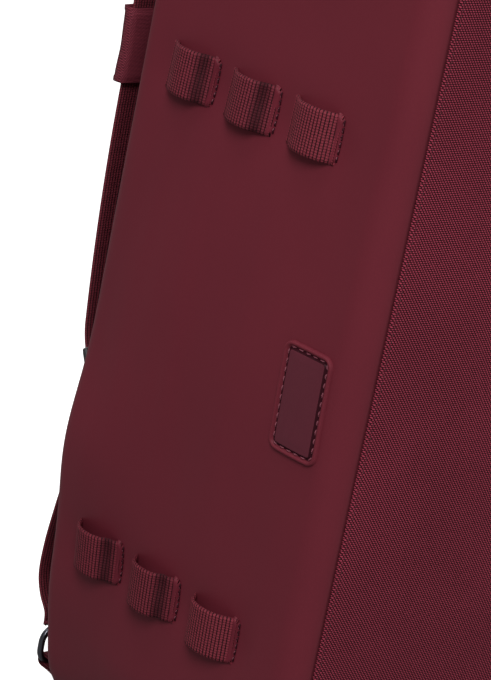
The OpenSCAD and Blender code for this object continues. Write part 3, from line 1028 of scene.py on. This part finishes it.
def cushion(name, width, length, thick, radius, bend, body, nodes, fill, quilt):
    """Starts a cushion as a flat slab with its middle at the origin. It's puffed up by
    puff_cushions, then bend(x, y, h) moves each of its points to its place on the bag."""
    edge = thick / 2

    def shell(sign):
        def place(x, y, depth):
            share = min(depth / edge, 1)
            return Vector((x, y, sign * edge * math.sqrt(max(1 - (1 - share) ** 2, 0)) * 0.95))
        return place
    front = pillow(name + "_upper", width, length, radius, shell(1), 12)
    rear = pillow(name + "_under", width, length, radius, shell(-1), 12, flip=True)
    obj = join(name, [front, rear])
    weld = obj.modifiers.new("weld", "WELD")
    weld.merge_threshold = 0.0002
    remesh = obj.modifiers.new("remesh", "REMESH")
    remesh.mode = "VOXEL"
    remesh.voxel_size = 0.0045
    apply_modifiers(obj)
    CUSHIONS.append((obj, bend, body, nodes, fill, quilt))


def apply_modifiers(obj):
    """Keeps the shape that an object's modifiers give it."""
    graph = bpy.context.evaluated_depsgraph_get()
    mesh = bpy.data.meshes.new_from_object(obj.evaluated_get(graph))
    obj.modifiers.clear()
    obj.data = mesh
    mesh.polygons.foreach_set("use_smooth", [True] * len(mesh.polygons))


def puff_cushions(cap=3.0):
    """Blows every cushion up as cloth, keeps each point within cap millimetres of its start,
    and bends the cushions into place."""
    for obj, *_ in CUSHIONS:
        cloth = obj.modifiers.new("puff", "CLOTH")
        cloth.settings.use_pressure = True
        cloth.settings.uniform_pressure_force = 4
        cloth.settings.effector_weights.gravity = 0
        cloth.settings.quality = 4
        cloth.settings.tension_stiffness = 25
        cloth.point_cache.frame_start = 1
        cloth.point_cache.frame_end = PUFF_FRAMES
    for number in range(1, PUFF_FRAMES + 1):
        bpy.context.scene.frame_set(number)
    for obj, *_ in CUSHIONS:
        start = [vertex.co.copy() for vertex in obj.data.vertices]
        apply_modifiers(obj)
        for vertex, old in zip(obj.data.vertices, start):
            shift = vertex.co - old
            limit = cap * MM
            if shift.length > limit:
                vertex.co = old + shift * (limit / shift.length)
    bpy.context.scene.frame_set(1)
    for obj, bend, body, nodes, fill, quilt in CUSHIONS:
        for vertex in obj.data.vertices:
            x, y, h = vertex.co / MM
            h -= quilt(x, y) * math.copysign(1, h)
            wrinkle = 0.25 * noise.noise(Vector((x / 9, y / 9, h / 9)))
            vertex.co = bend(x, y, h + wrinkle) * MM
        subdivide(obj, 1)
        finish_piece(obj, body, MESH, nodes)


# ---------- back panel and its pads ----------

def back_skin():
    """The back panel: rings from the turned-in seam to the middle."""
    offsets = [0, 0.5, 1.3, 2.2, 3.0, 3.6, 5, 9, 15, 22, 30, 38]
    dips = [1.8, 0.5, 0.0, 0.0, 0.35, 0.0, 0, 0, 0, 0, 0, 0]
    shares = [0.9, 0.75, 0.6, 0.45, 0.3, 0.15, 0.08]
    count = 420
    places = [perimeter(k * 2 * HALF_ROUND / count) for k in range(count)]
    points, uvs = [], []
    for offset, dip in zip(offsets, dips):
        for x, z, nx, nz in places:
            inset = BACK_R - 0.6 + offset - edge_swell(z) * nx * nx * (1 - offset / 40)
            points.append(Vector((x - nx * inset, BACK_Y - dip, z - nz * inset)))
            uvs.append((x, z))
    last = points[-count:]
    for share in shares:
        for point in last:
            z = MID_Z + (point.z - MID_Z) * share
            points.append(Vector((point.x * share, BACK_Y, z)))
            uvs.append((point.x, z))
    rings = len(offsets) + len(shares)
    faces = grid_faces(rings, count, loop_columns=True)
    points.append(Vector((0, BACK_Y, MID_Z)))
    uvs.append((0, MID_Z))
    faces += fan(len(points) - 1, count, 1)
    obj = make_mesh("back_skin", points, faces, uvs)
    thicken(obj, 7, 1)
    finish_piece(obj, "bag", [TWILL_BACK, LINING], ["back_panel"])
    path, outs = [], []
    for k in range(count + 1):
        x, z, nx, nz = perimeter(k * 2 * HALF_ROUND / count)
        inset = BACK_R + 2.6 - edge_swell(z) * nx * nx * 0.92
        path.append(Vector((x - nx * inset, BACK_Y - 0.25, z - nz * inset)))
        outs.append(Vector((0, 1, 0)))
    thread = stitches("back_topstitch", path, outs, 2.5, 3.4, 0.26, 0.05)
    finish_piece(thread, "bag", THREAD_DARK)


def binding(name, width, length, radius, bend, height, size, body, material):
    """A rolled edge that runs round a cushion."""
    path = [bend(x, y, height) for x, y in round_rect_path(width, length, radius, 30, 10)]
    obj = tube(name, path, size, 8, closed=True)
    return finish_piece(obj, body, material)


def back_cushion(node, channels):
    """A pad of the back panel, with its channels pressed in at the given places across it."""
    low, high = node_box(node)
    middle = (low + high) / 2
    wide, tall = high.x - low.x, high.z - low.z
    thick = high.y - low.y

    def bend(x, y, h):
        return Vector((middle.x - x, middle.y + h * 0.95, middle.z + y))

    def quilt(x, y):
        return 1.7 * max(math.exp(-((x - c) / 2.6) ** 2) for c in channels)
    cushion(node + "_cushion", wide - 5, tall - 5, thick, 16, bend, "bag", [node], 0.7, quilt)
    binding(node + "_binding", wide - 2.5, tall - 2.5, 17, bend, -thick * 0.36, 1.7, "bag",
            BINDING)


def trolley_band():
    """The band that slides over a case's handle, with its two hems and two sewn sides."""
    low, high = node_box("trolley_sleeve")
    half = high.x
    rise = high.y - BACK_Y - 1
    rows, columns = 61, 24

    def point(a, b):
        x = mix(-half, half, a)
        edge = min(1 - abs(x) / half, 1)
        lift = rise * smooth(edge, 0.0, 0.13)
        z = mix(low.z, high.z, b)
        hem = 0.35 * (1 if b < 0.09 or b > 0.91 else 0)
        wave = 0.5 * noise.noise(Vector((x / 25, z / 25, 8.2)))
        return Vector((x, BACK_Y + 0.6 + lift + hem + wave * smooth(edge, 0, 0.2), z))
    obj = surface_grid("trolley_band", rows, columns, point, lambda a, b: (a * 2 * half, b * 78),
                       flip=True)
    thicken(obj, 1.6, 0, 1)
    finish_piece(obj, "bag", COATED, ["trolley_sleeve"])
    for s in (-1, 1):
        for shift in (1.8, 4.6):
            y = BACK_Y + 0.9 + rise * smooth(shift / half, 0, 0.13) + 1.5
            line = [Vector((s * (half - shift), y, z)) for z in steps(low.z + 2, high.z - 2, 20)]
            thread = stitches(f"trolley_row_{s}_{shift}".replace(".", "_"), line,
                              [Vector((0, 1, 0))] * len(line), 2.4, 3.3, 0.28, 0.1)
            finish_piece(thread, "bag", THREAD_DARK)


# ---------- shoulder straps ----------

STRAP_OUT = node_box("strap_webbing_left")[1].y - BACK_Y
STRAP_X = 113
STRAP_LEAN = math.radians(3)
STRAP_LEAN_Z = 330
STRAP_LONG_R = 750
STRAP_FLAT_R = 1130
STRAP_TOP_R = 120
STRAP_PEAK_Z = 380
BLOCK_Z = 473
STRAP_LOW = node_box("strap_pad_left")[0].z + 1
LOCK_LENGTH = STRAP_LONG_R * math.radians(1.55)
WEB_WIDE = 25
PAD_WIDE = 50
PAD_IN = PAD_WIDE / 2 - 2.5


def strap_curve(along):
    """Out and up of the strap's outer face, along being the length down from its peak, and
    negative above it. The last two numbers are its outward direction."""
    radius = STRAP_FLAT_R if along >= 0 else STRAP_TOP_R
    angle = -along / radius
    tail = 0.013 * max(along - 180, 0) ** 2 - 4 * math.exp(-(along / 24) ** 2)
    return (STRAP_OUT - radius * (1 - math.cos(angle)) - tail, STRAP_PEAK_Z + radius * math.sin(angle),
            math.cos(angle), math.sin(angle))


def strap_place(side, x, along, depth=0.0):
    """A point of a strap: x across from the webbing's middle towards the bag's middle."""
    out, up, away, rise = strap_curve(along)
    z = up - rise * depth
    lean = (STRAP_LEAN_Z - z) * math.tan(STRAP_LEAN)
    return Vector((side * (STRAP_X + lean - x), BACK_Y + out - away * depth, z))


def strap(side):
    """A shoulder strap: its cushion with a rolled edge, the webbing on it, and its fittings."""
    word = side_word(side)
    body = f"strap_{word}"
    top = -STRAP_TOP_R * math.radians(45)
    bottom = STRAP_LONG_R * math.radians(14.6)
    length = bottom - top

    def bend(x, y, h):
        along = mix(top, bottom, 0.5 - y / length)
        return strap_place(side, PAD_IN + x * (1 if side < 0 else -1) * -side, along, 8.1 - h)
    cushion(f"strap_cushion_{word}", PAD_WIDE - 3, length - 3, 12, 11, bend, body,
            [f"strap_pad_{word}"], 0.65,
            lambda x, y: 1.1 * math.exp(-((abs(x) - 19.5) / 1.6) ** 2))
    # Near-black binding: painted shade for the gap between the webbing and the bag's edge.
    binding(f"strap_binding_{word}", PAD_WIDE - 1.6, length - 1.6, 12, bend, 0, 2.1, body,
            STRAP_BINDING_SHADE)
    across = Vector((-side, 0, 0))
    path = [strap_place(side, 0, along, 0.9) for along in steps(top - 2, bottom + 2, 200)]
    web = ribbon(f"strap_web_{word}", path, across, WEB_WIDE, 1.8, relief=0.12, steps_wide=8)
    finish_piece(web, body, WEBBING_DIM, [f"strap_webbing_{word}"])
    for x in (-WEB_WIDE / 2 + 2, WEB_WIDE / 2 - 2):
        places = steps(top + 3, bottom - 3, 120)
        line = [strap_place(side, x, along, -0.1) for along in places]
        outs = [Vector((0,) + strap_curve(along)[2:]) for along in places]
        thread = stitches(f"strap_row_{word}_{'in' if x > 0 else 'out'}", line, outs, 2.4, 3.3,
                          0.3, 0.1)
        finish_piece(thread, body, THREAD_DARK)
    tongue(side, word, body, top)
    keeper(side, word, body)
    adjuster(side, word, body, bottom)
    low_web(side, word, body, bottom)


def tongue(side, word, body, top):
    """The flap of twill that joins the pad's upper end to the block it hangs from."""
    key = [strap_place(side, PAD_IN, top + 9, 3.0), strap_place(side, PAD_IN, top + 3, 3.0)]
    hang = key[-1]
    key += [Vector((hang.x, BACK_Y + 9.5, hang.z + 5)), Vector((hang.x, BACK_Y + 7.5, BLOCK_Z))]
    flap = ribbon(f"strap_flap_{word}", resample(key, 40), Vector((-side, 0, 0)), PAD_WIDE - 6,
                  3.2, steps_wide=8)
    finish_piece(flap, body, TWILL_FINE)


def keeper(side, word, body):
    """The twill band that goes round the strap, folded over at its top edge."""
    start = STRAP_LONG_R * math.radians(1.4)
    end = STRAP_LONG_R * math.radians(4.3)
    half = WEB_WIDE / 2 + 1.8
    section = [(mix(-half - 0.4, half + 0.4, share), -1.7 - 1.1 * math.sin(math.pi * share))
               for share in steps(0, 1, 24)]
    section += [(half + 1.2, -0.6), (half + 1.3, 2.0), (half + 0.9, 4.6), (half - 1.5, 5.4)]
    section += [(-half + 1.5, 5.4), (-half - 0.9, 4.6), (-half - 1.3, 2.0), (-half - 1.2, -0.6)]

    def point(a, b):
        k = min(int(b * (len(section) - 1) + 0.5), len(section) - 1)
        x, depth = section[k]
        fold = 0.55 if a < 0.075 or a > 0.94 else 0.0
        wave = 0.35 * noise.noise(Vector((x / 7, a * 4, side + 2.2)))
        spread = 1 + 0.012 * math.sin(9 * a)
        return strap_place(side, x * spread, mix(start, end, a), depth - fold + wave)
    obj = surface_grid(f"keeper_{word}", 40, len(section), point,
                       lambda a, b: (a * 37, b * 60), flip=side > 0)
    thicken(obj, 0.9, 0, 0)
    finish_piece(obj, body, TWILL_FINE, [f"strap_keeper_{word}"])


def adjuster(side, word, body, bottom):
    """The ladder lock at the end of the pad: two side rails with four rounded bars."""
    half = WEB_WIDE / 2 + 4
    rails = []
    for s in (-1, 1):
        rails.append([strap_place(side, s * (half - 1.7), bottom + LOCK_LENGTH * k / 8 + 1, 4.2)
                      for k in range(9)])
    for share, drop in ((0.08, 4.2), (0.42, 3.4), (0.68, 5.2), (1.0, 3.6)):
        along = bottom + 1 + LOCK_LENGTH * share
        rails.append([strap_place(side, x, along, drop)
                      for x in steps(-half + 1.5, half - 1.5, 8)])
    pieces = [tube(f"lock_bar_{word}_{k}", rail, 1.9, 12) for k, rail in enumerate(rails)]
    obj = join(f"ladder_frame_{word}", pieces)
    subdivide(obj, 1)
    finish_piece(obj, body, PLASTIC, [f"ladder_lock_{word}"])


def low_web(side, word, body, bottom):
    """The lower webbing: from the adjuster down the bag's edge, and over the ring."""
    x0 = side * RING_X
    start = strap_place(side, 0, bottom + LOCK_LENGTH * 0.7, 1.4)
    upper = strap_place(side, 0, bottom + LOCK_LENGTH + 3, 2.4)
    key = [start, upper]
    ring_out = (RING_LOW.y + RING_HIGH.y) / 2 - BACK_Y
    ring_top = RING_HIGH.z - 2.8 - RING_LESS
    for out, z in ((24, 152), (23.5, 134), (25.5, 115), (28, 99), (30.6, 79), (30.8, 62),
                   (27, 51), (21, 43)):
        key.append(Vector((x0, BACK_Y + out, z)))
    bend = 3.2
    for k in range(9):
        angle = math.radians(20 + 85 * k / 8)
        key.append(Vector((x0, BACK_Y + ring_out + bend * math.cos(angle),
                           ring_top + bend * math.sin(angle))))
    path = resample(key, 170)
    across = Vector((-side, 0, 0))
    web = ribbon(f"lower_web_{word}", path, across, WEB_WIDE, 1.6, relief=0.12, steps_wide=8)
    finish_piece(web, body, WEBBING_DIM, [f"lower_webbing_{word}"])


RING_LOW, RING_HIGH = node_box("ring_left")
RING_X = -(RING_LOW.x + RING_HIGH.x) / 2
RING_LESS = 3


def ring(side):
    """The rectangular wire ring, and the folded webbing tab that holds it."""
    word = side_word(side)
    low, high = node_box(f"ring_{word}")
    middle = (low + high) / 2 + Vector((-side * 1.5, 0, -RING_LESS / 2 - 1))
    wire = 1.8
    wide = high.x - low.x - 2 * wire - RING_LESS
    tall = high.z - low.z - 2 * wire - RING_LESS
    path = [middle + Vector((x, 0, z)) for x, z in round_rect_path(wide, tall, 7.5, 10, 10)]
    obj = tube(f"wire_ring_{word}", path, wire, 14, closed=True)
    subdivide(obj, 1)
    finish_piece(obj, f"ring_{word}", GUNMETAL, [f"ring_{word}"])
    out = middle.y - BACK_Y
    bar_z = low.z + wire
    bend = 3.0
    turn = []
    for k in range(13):
        angle = math.radians(-90 + 180 * k / 12)
        turn.append((out + bend * math.cos(angle), bar_z + bend * math.sin(angle)))
    key = [(0.9, bar_z - 5.0), (6, bar_z - 4.4), (11, bar_z - 3.4)] + turn
    key += [(11, bar_z + 2.4), (6, bar_z + 1.2), (0.9, bar_z + 0.6)]
    points = [Vector((side * RING_X, BACK_Y + o, z)) for o, z in key]
    web = ribbon(f"ring_tab_web_{word}", resample(points, 70), Vector((1, 0, 0)), 24, 1.5,
                 relief=0.1, steps_wide=8)
    finish_piece(web, "bag", WEBBING_DIM, [f"ring_tab_{word}"])


def anchor(side):
    """The block of folded twill at the top of a strap, with its box of stitches."""
    word = side_word(side)
    low, high = node_box(f"strap_anchor_{word}")
    middle = (low + high) / 2
    wide, tall = high.x - low.x, high.z - low.z

    def place(x, z, depth):
        lift = (high.y - BACK_Y - 0.4) * smooth(depth, -1.5, 3.2)
        return Vector((middle.x + x, BACK_Y + 0.2 + lift, middle.z + z))
    body = pillow(f"anchor_block_{word}", wide, tall, 5, place, 12, flip=True)
    body.data.materials.append(TWILL_FINE)
    outline_points = round_rect_path(wide - 7, tall - 7, 1.5, 16, 3)
    line = [place(x, z, 3.5) for x, z in outline_points]
    line.append(line[0])
    heights = steps(-tall / 2 + 5, tall / 2 - 5, 20)
    cross = [place(x, z, 5) for x, z in zip(steps(-wide / 2 + 5, wide / 2 - 5, 20), heights)]
    back = [place(x, z, 5) for x, z in zip(steps(wide / 2 - 5, -wide / 2 + 5, 20), heights)]
    up = Vector((0, 1, 0))
    rows = [stitches(f"anchor_row_{word}_{k}", row, [up] * len(row), 2.4, 3.2, 0.32, 0.0)
            for k, row in enumerate((line, cross, back))]
    for row in rows:
        row.data.materials.append(THREAD)
    obj = join(f"strap_block_{word}", [body] + rows)
    finish_piece(obj, "bag", (), [f"strap_anchor_{word}"])


# ---------- grab handle ----------

def grab_handle():
    """Webbing from anchor to anchor, with a padded twill grip round its middle."""
    low, high = node_box("handle_webbing")
    grip_low, grip_high = node_box("handle_grip")
    middle_y = (low.y + high.y) / 2
    reach, base = high.x - 2, low.z
    rise = high.z - 1.5 - base
    radius = (reach ** 2 + rise ** 2) / (2 * rise)

    def arch(x, depth=0.0):
        centre = base + rise - radius
        angle = x / radius
        return Vector(((radius - depth) * math.sin(angle), middle_y,
                       centre + (radius - depth) * math.cos(angle)))
    end = radius * math.asin(min(reach / radius, 1))
    path = [arch(x) for x in steps(-end, end, 120)]
    web = ribbon("handle_web", path, Vector((0, 1, 0)), high.y - low.y, 2.6, relief=0.12)
    finish_piece(web, "handle", WEBBING, ["handle_webbing"])
    grip_half = radius * math.asin(grip_high.x / radius) - 1
    wide = grip_high.y - grip_low.y
    rows, columns = 72, 40

    def point(a, b):
        angle = 2 * math.pi * b
        taper = 0.8 + 0.2 * smooth(min(a, 1 - a), 0, 0.06)
        across = 0.5 * wide * math.copysign(abs(math.cos(angle)) ** 0.75, math.cos(angle))
        high_part = 5.4 * math.copysign(abs(math.sin(angle)) ** 0.8, math.sin(angle))
        quilt = 0.25 * noise.noise(Vector((a * 12, math.cos(angle) * 2, math.sin(angle) * 2)))
        centre = arch(mix(-grip_half, grip_half, a), 1.2 - high_part * taper - quilt)
        return centre + Vector((0, across * taper, 0))
    grip = surface_grid("handle_grip_sleeve", rows, columns, point,
                        lambda a, b: (a * 2 * grip_half, b * 70))
    thicken(grip, 0.8, 0)
    finish_piece(grip, "handle", TWILL_FINE, ["handle_grip"])
    seam = [point(share, 0.75) for share in steps(0, 1, 80)]
    thread = stitches("handle_row", seam, [Vector((0, 0, -1))] * len(seam), 2.4, 3.3, 0.3, 0.0)
    finish_piece(thread, "handle", THREAD)
    handle_patches()


def handle_patches():
    """The two stitched patches that hold the handle's ends."""
    low, high = node_box("handle_anchors")
    middle_y = (low.y + high.y) / 2
    wide, deep = 17, high.y - low.y
    pieces = []
    for s in (-1, 1):
        middle_x = s * (high.x - wide / 2)

        def place(x, y, depth):
            lift = (high.z - TOP_Z - 0.2) * smooth(depth, -0.8, 2.0)
            return Vector((middle_x + x, middle_y + y, TOP_Z + lift))
        patch = pillow(f"handle_patch_{s}", wide, deep, 3, place, 9)
        patch.data.materials.append(TWILL_FINE)
        pieces.append(patch)
        line = [place(x, y, 3) for x, y in round_rect_path(wide - 5, deep - 5, 1, 8, 3)]
        line.append(line[0])
        thread = stitches(f"handle_patch_row_{s}", line, [Vector((0, 0, 1))] * len(line), 2.4,
                          3.2, 0.32, 0.0)
        thread.data.materials.append(THREAD)
        pieces.append(thread)
    finish_piece(join("handle_patches", pieces), "bag", (), ["handle_anchors"])


BINDING = cloth_material("binding_tape", srgb(88, 34, 44), srgb(58, 18, 26))
# The strap pads' binding tape is made near black: painted shade for the dark gap between the strap
# webbing and the side panel.
STRAP_BINDING_SHADE = cloth_material("binding_tape_painted_shade", srgb(40, 12, 18), srgb(26, 6, 11))
TWILL_BACK = twill_material("back_twill", srgb(120, 48, 64), srgb(40, 8, 18))

back_skin()
back_cushion("back_pad", (-38, 0, 38))
back_cushion("lumbar_pad", (-48, 0, 48))
trolley_band()
for harness_side in (-1, 1):
    strap(harness_side)
    ring(harness_side)
    anchor(harness_side)
puff_cushions()
grab_handle()


# ---------- inside, and the hard parts kept from the CAD ----------

def laptop_pocket():
    """The laptop sleeve: a padded front with a bound top edge, sewn down on three sides."""
    low, high = node_box("laptop_sleeve")
    wide, tall = high.x - low.x, high.z - low.z
    deep = high.y - low.y

    def point(a, b):
        x = mix(low.x, high.x, a)
        z = mix(low.z, high.z, b)
        side = min(a, 1 - a) * wide
        lift = (deep - 1.5) * smooth(side, -2, 26) * smooth(b * tall, -6, 24)
        quilt = 0.8 * abs(math.sin(x / 14) * math.sin(z / 14)) ** 0.4
        return Vector((x, high.y - 1 - lift - quilt, z))
    obj = surface_grid("laptop_pocket", 90, 100, point, lambda a, b: (a * wide, b * tall))
    thicken(obj, 2.0, 0)
    finish_piece(obj, "bag", LINING, ["laptop_sleeve"])
    edge = [point(share, 1.0) + Vector((0, -0.6, 0)) for share in steps(0, 1, 80)]
    band = tube("laptop_binding", edge, 2.0, 10)
    finish_piece(band, "bag", BINDING)


def door_pocket():
    """The flat zip pocket sewn inside the door."""
    low, high = node_box("pocket_bag")
    wide, tall = high.x - low.x, high.z - low.z
    deep = high.y - low.y

    def point(a, b):
        x = mix(low.x, high.x, a)
        z = mix(low.z, high.z, b)
        edge = min(min(a, 1 - a) * wide, min(b, 1 - b) * tall)
        lift = (deep - 2) * smooth(edge, -1, 22)
        wave = 0.9 * noise.noise(Vector((x / 40, z / 40, 5.5))) * smooth(edge, 0, 30)
        return Vector((x, low.y + 0.6 + lift + wave, z))
    obj = surface_grid("door_pocket", 80, 90, point, lambda a, b: (a * wide, b * tall), flip=True)
    thicken(obj, 1.2, 0)
    finish_piece(obj, "door", LINING, ["pocket_bag"])


def packing_straps():
    """The two straps that hold the load down, each with a slight sag."""
    for word in ("left", "right"):
        low, high = node_box(f"packing_strap_{word}")
        middle = (low + high) / 2
        path = [Vector((mix(low.x, high.x, share), middle.y - 0.8 * math.sin(math.pi * share),
                        middle.z)) for share in steps(0, 1, 80)]
        web = ribbon(f"packing_web_{word}", path, Vector((0, 0, 1)), high.z - low.z, 1.6,
                     relief=0.12, steps_wide=8)
        finish_piece(web, "bag", WEBBING, [f"packing_strap_{word}"])


def buckle():
    """The side-release buckle that joins the packing straps."""
    low, high = node_box("packing_buckle")
    middle = (low + high) / 2
    wide, tall, deep = high.x - low.x, high.z - low.z, high.y - low.y

    def place(x, z, depth):
        lift = deep * smooth(depth, -0.6, 2.4)
        groove = 0.9 * math.exp(-((abs(x) - 5) / 0.8) ** 2)
        waist = 1 - 0.10 * math.exp(-((x - 2) / 6) ** 2) * (abs(z) / (tall / 2)) ** 2
        return Vector((middle.x + x, high.y - lift + groove, middle.z + z * waist))
    obj = pillow("release_buckle", wide, tall, 6, place, 26)
    thicken(obj, 1.0, 0)
    finish_piece(obj, "bag", PLASTIC, ["packing_buckle"])


CAD_BEVEL = 0.25


def keep_cad(names, material):
    """CAD parts that are shown as they are, with a finish and softened edges."""
    for name in names:
        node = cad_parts[name]
        node.data.materials.clear()
        node.data.materials.append(material)
        edges = node.modifiers.new("soft_edges", "BEVEL")
        edges.width = CAD_BEVEL * MM
        edges.segments = 2
        edges.limit_method = "ANGLE"


laptop_pocket()
door_pocket()
packing_straps()
buckle()
keep_cad(["upper_slider", "lower_slider", "pocket_slider"], GUNMETAL)
keep_cad(["upper_puller", "lower_puller", "pocket_puller"], PLASTIC)
keep_cad(["frame_sheet", "base_board"], BOARD)


# ---------- stage, light and camera ----------

def look_at(obj, target, roll=0.0):
    """Turns an object's -Z axis to a target, with its top leaning by roll."""
    direction = (target - obj.location).normalized()
    obj.rotation_euler = (direction.to_track_quat("-Z", "Y").to_matrix()
                          @ Matrix.Rotation(roll, 3, "Z")).to_euler()


def area_light(name, place, target, size, power):
    """A square lamp, its side in metres and its power in watts."""
    data = bpy.data.lights.new(name, "AREA")
    data.shape = "RECTANGLE"
    data.size, data.size_y = size, size
    data.energy = power
    obj = bpy.data.objects.new(name, data)
    bpy.context.scene.collection.objects.link(obj)
    obj.location = place
    look_at(obj, target)


def make_stage():
    """A wide pale floor."""
    reach = 7000
    corners = [(x, y, 0) for y in (-reach, reach) for x in (-reach, reach)]
    floor = make_mesh("floor", corners, grid_faces(2, 2))
    n = Nodes("pale_floor")
    seen = n.add("ShaderNodeLightPath").outputs["Is Camera Ray"]
    n.plug(n.math("MULTIPLY", seen, 0.75), n.shader.inputs["Emission Strength"])
    n.shader.inputs["Emission Color"].default_value = (1, 1, 1, 1)
    pale = n.blend(seen, (0.3, 0.3, 0.3, 1), (0.8, 0.8, 0.8, 1))
    floor.data.materials.append(n.done(pale, 0.8, Specular_IOR_Level=0.1))


CAMERA_TURN = -45.7
CAMERA_RISE = 18.8
CAMERA_ROLL = 11.4
CAMERA_FAR = 1.5
CAMERA_LENS = 169.9
TARGET = Vector((-HALF_W, FRONT_Y + 73.8, MID_Z - 2)) * MM

make_stage()
camera_data = bpy.data.cameras.new("camera")
camera_data.lens = CAMERA_LENS
camera_data.sensor_width = 36
camera_data.clip_start = 0.05
camera = bpy.data.objects.new("camera", camera_data)
bpy.context.scene.collection.objects.link(camera)
turn, rise = math.radians(CAMERA_TURN), math.radians(CAMERA_RISE)
camera.location = TARGET + CAMERA_FAR * Vector((math.sin(turn) * math.cos(rise),
                                                -math.cos(turn) * math.cos(rise),
                                                math.sin(rise)))
look_at(camera, TARGET, math.radians(CAMERA_ROLL))
bpy.context.scene.camera = camera

bpy.context.scene.view_settings.view_transform = "Standard"

world = bpy.data.worlds.new("studio")
world.use_nodes = True
backdrop = world.node_tree.nodes["Background"]
backdrop.inputs["Color"].default_value = (1, 1, 1, 1)
path_kind = world.node_tree.nodes.new("ShaderNodeLightPath")
glow = world.node_tree.nodes.new("ShaderNodeMath")
glow.operation = "MULTIPLY_ADD"
glow.inputs[1].default_value = 0.8
glow.inputs[2].default_value = 0.2
world.node_tree.links.new(path_kind.outputs["Is Camera Ray"], glow.inputs[0])
world.node_tree.links.new(glow.outputs[0], backdrop.inputs["Strength"])
bpy.context.scene.world = world

CENTRE = Vector((0, 0, MID_Z)) * MM
area_light("key", Vector((-1.6, -1.15, 1.9)), CENTRE, 1.0, 42)
area_light("fill", Vector((0.4, -2.2, 1.1)), CENTRE, 1.6, 11)
area_light("behind", Vector((-0.5, 2.3, 1.5)), CENTRE, 1.4, 12)
area_light("top", Vector((-0.3, 0.3, 2.3)), CENTRE, 1.4, 19)
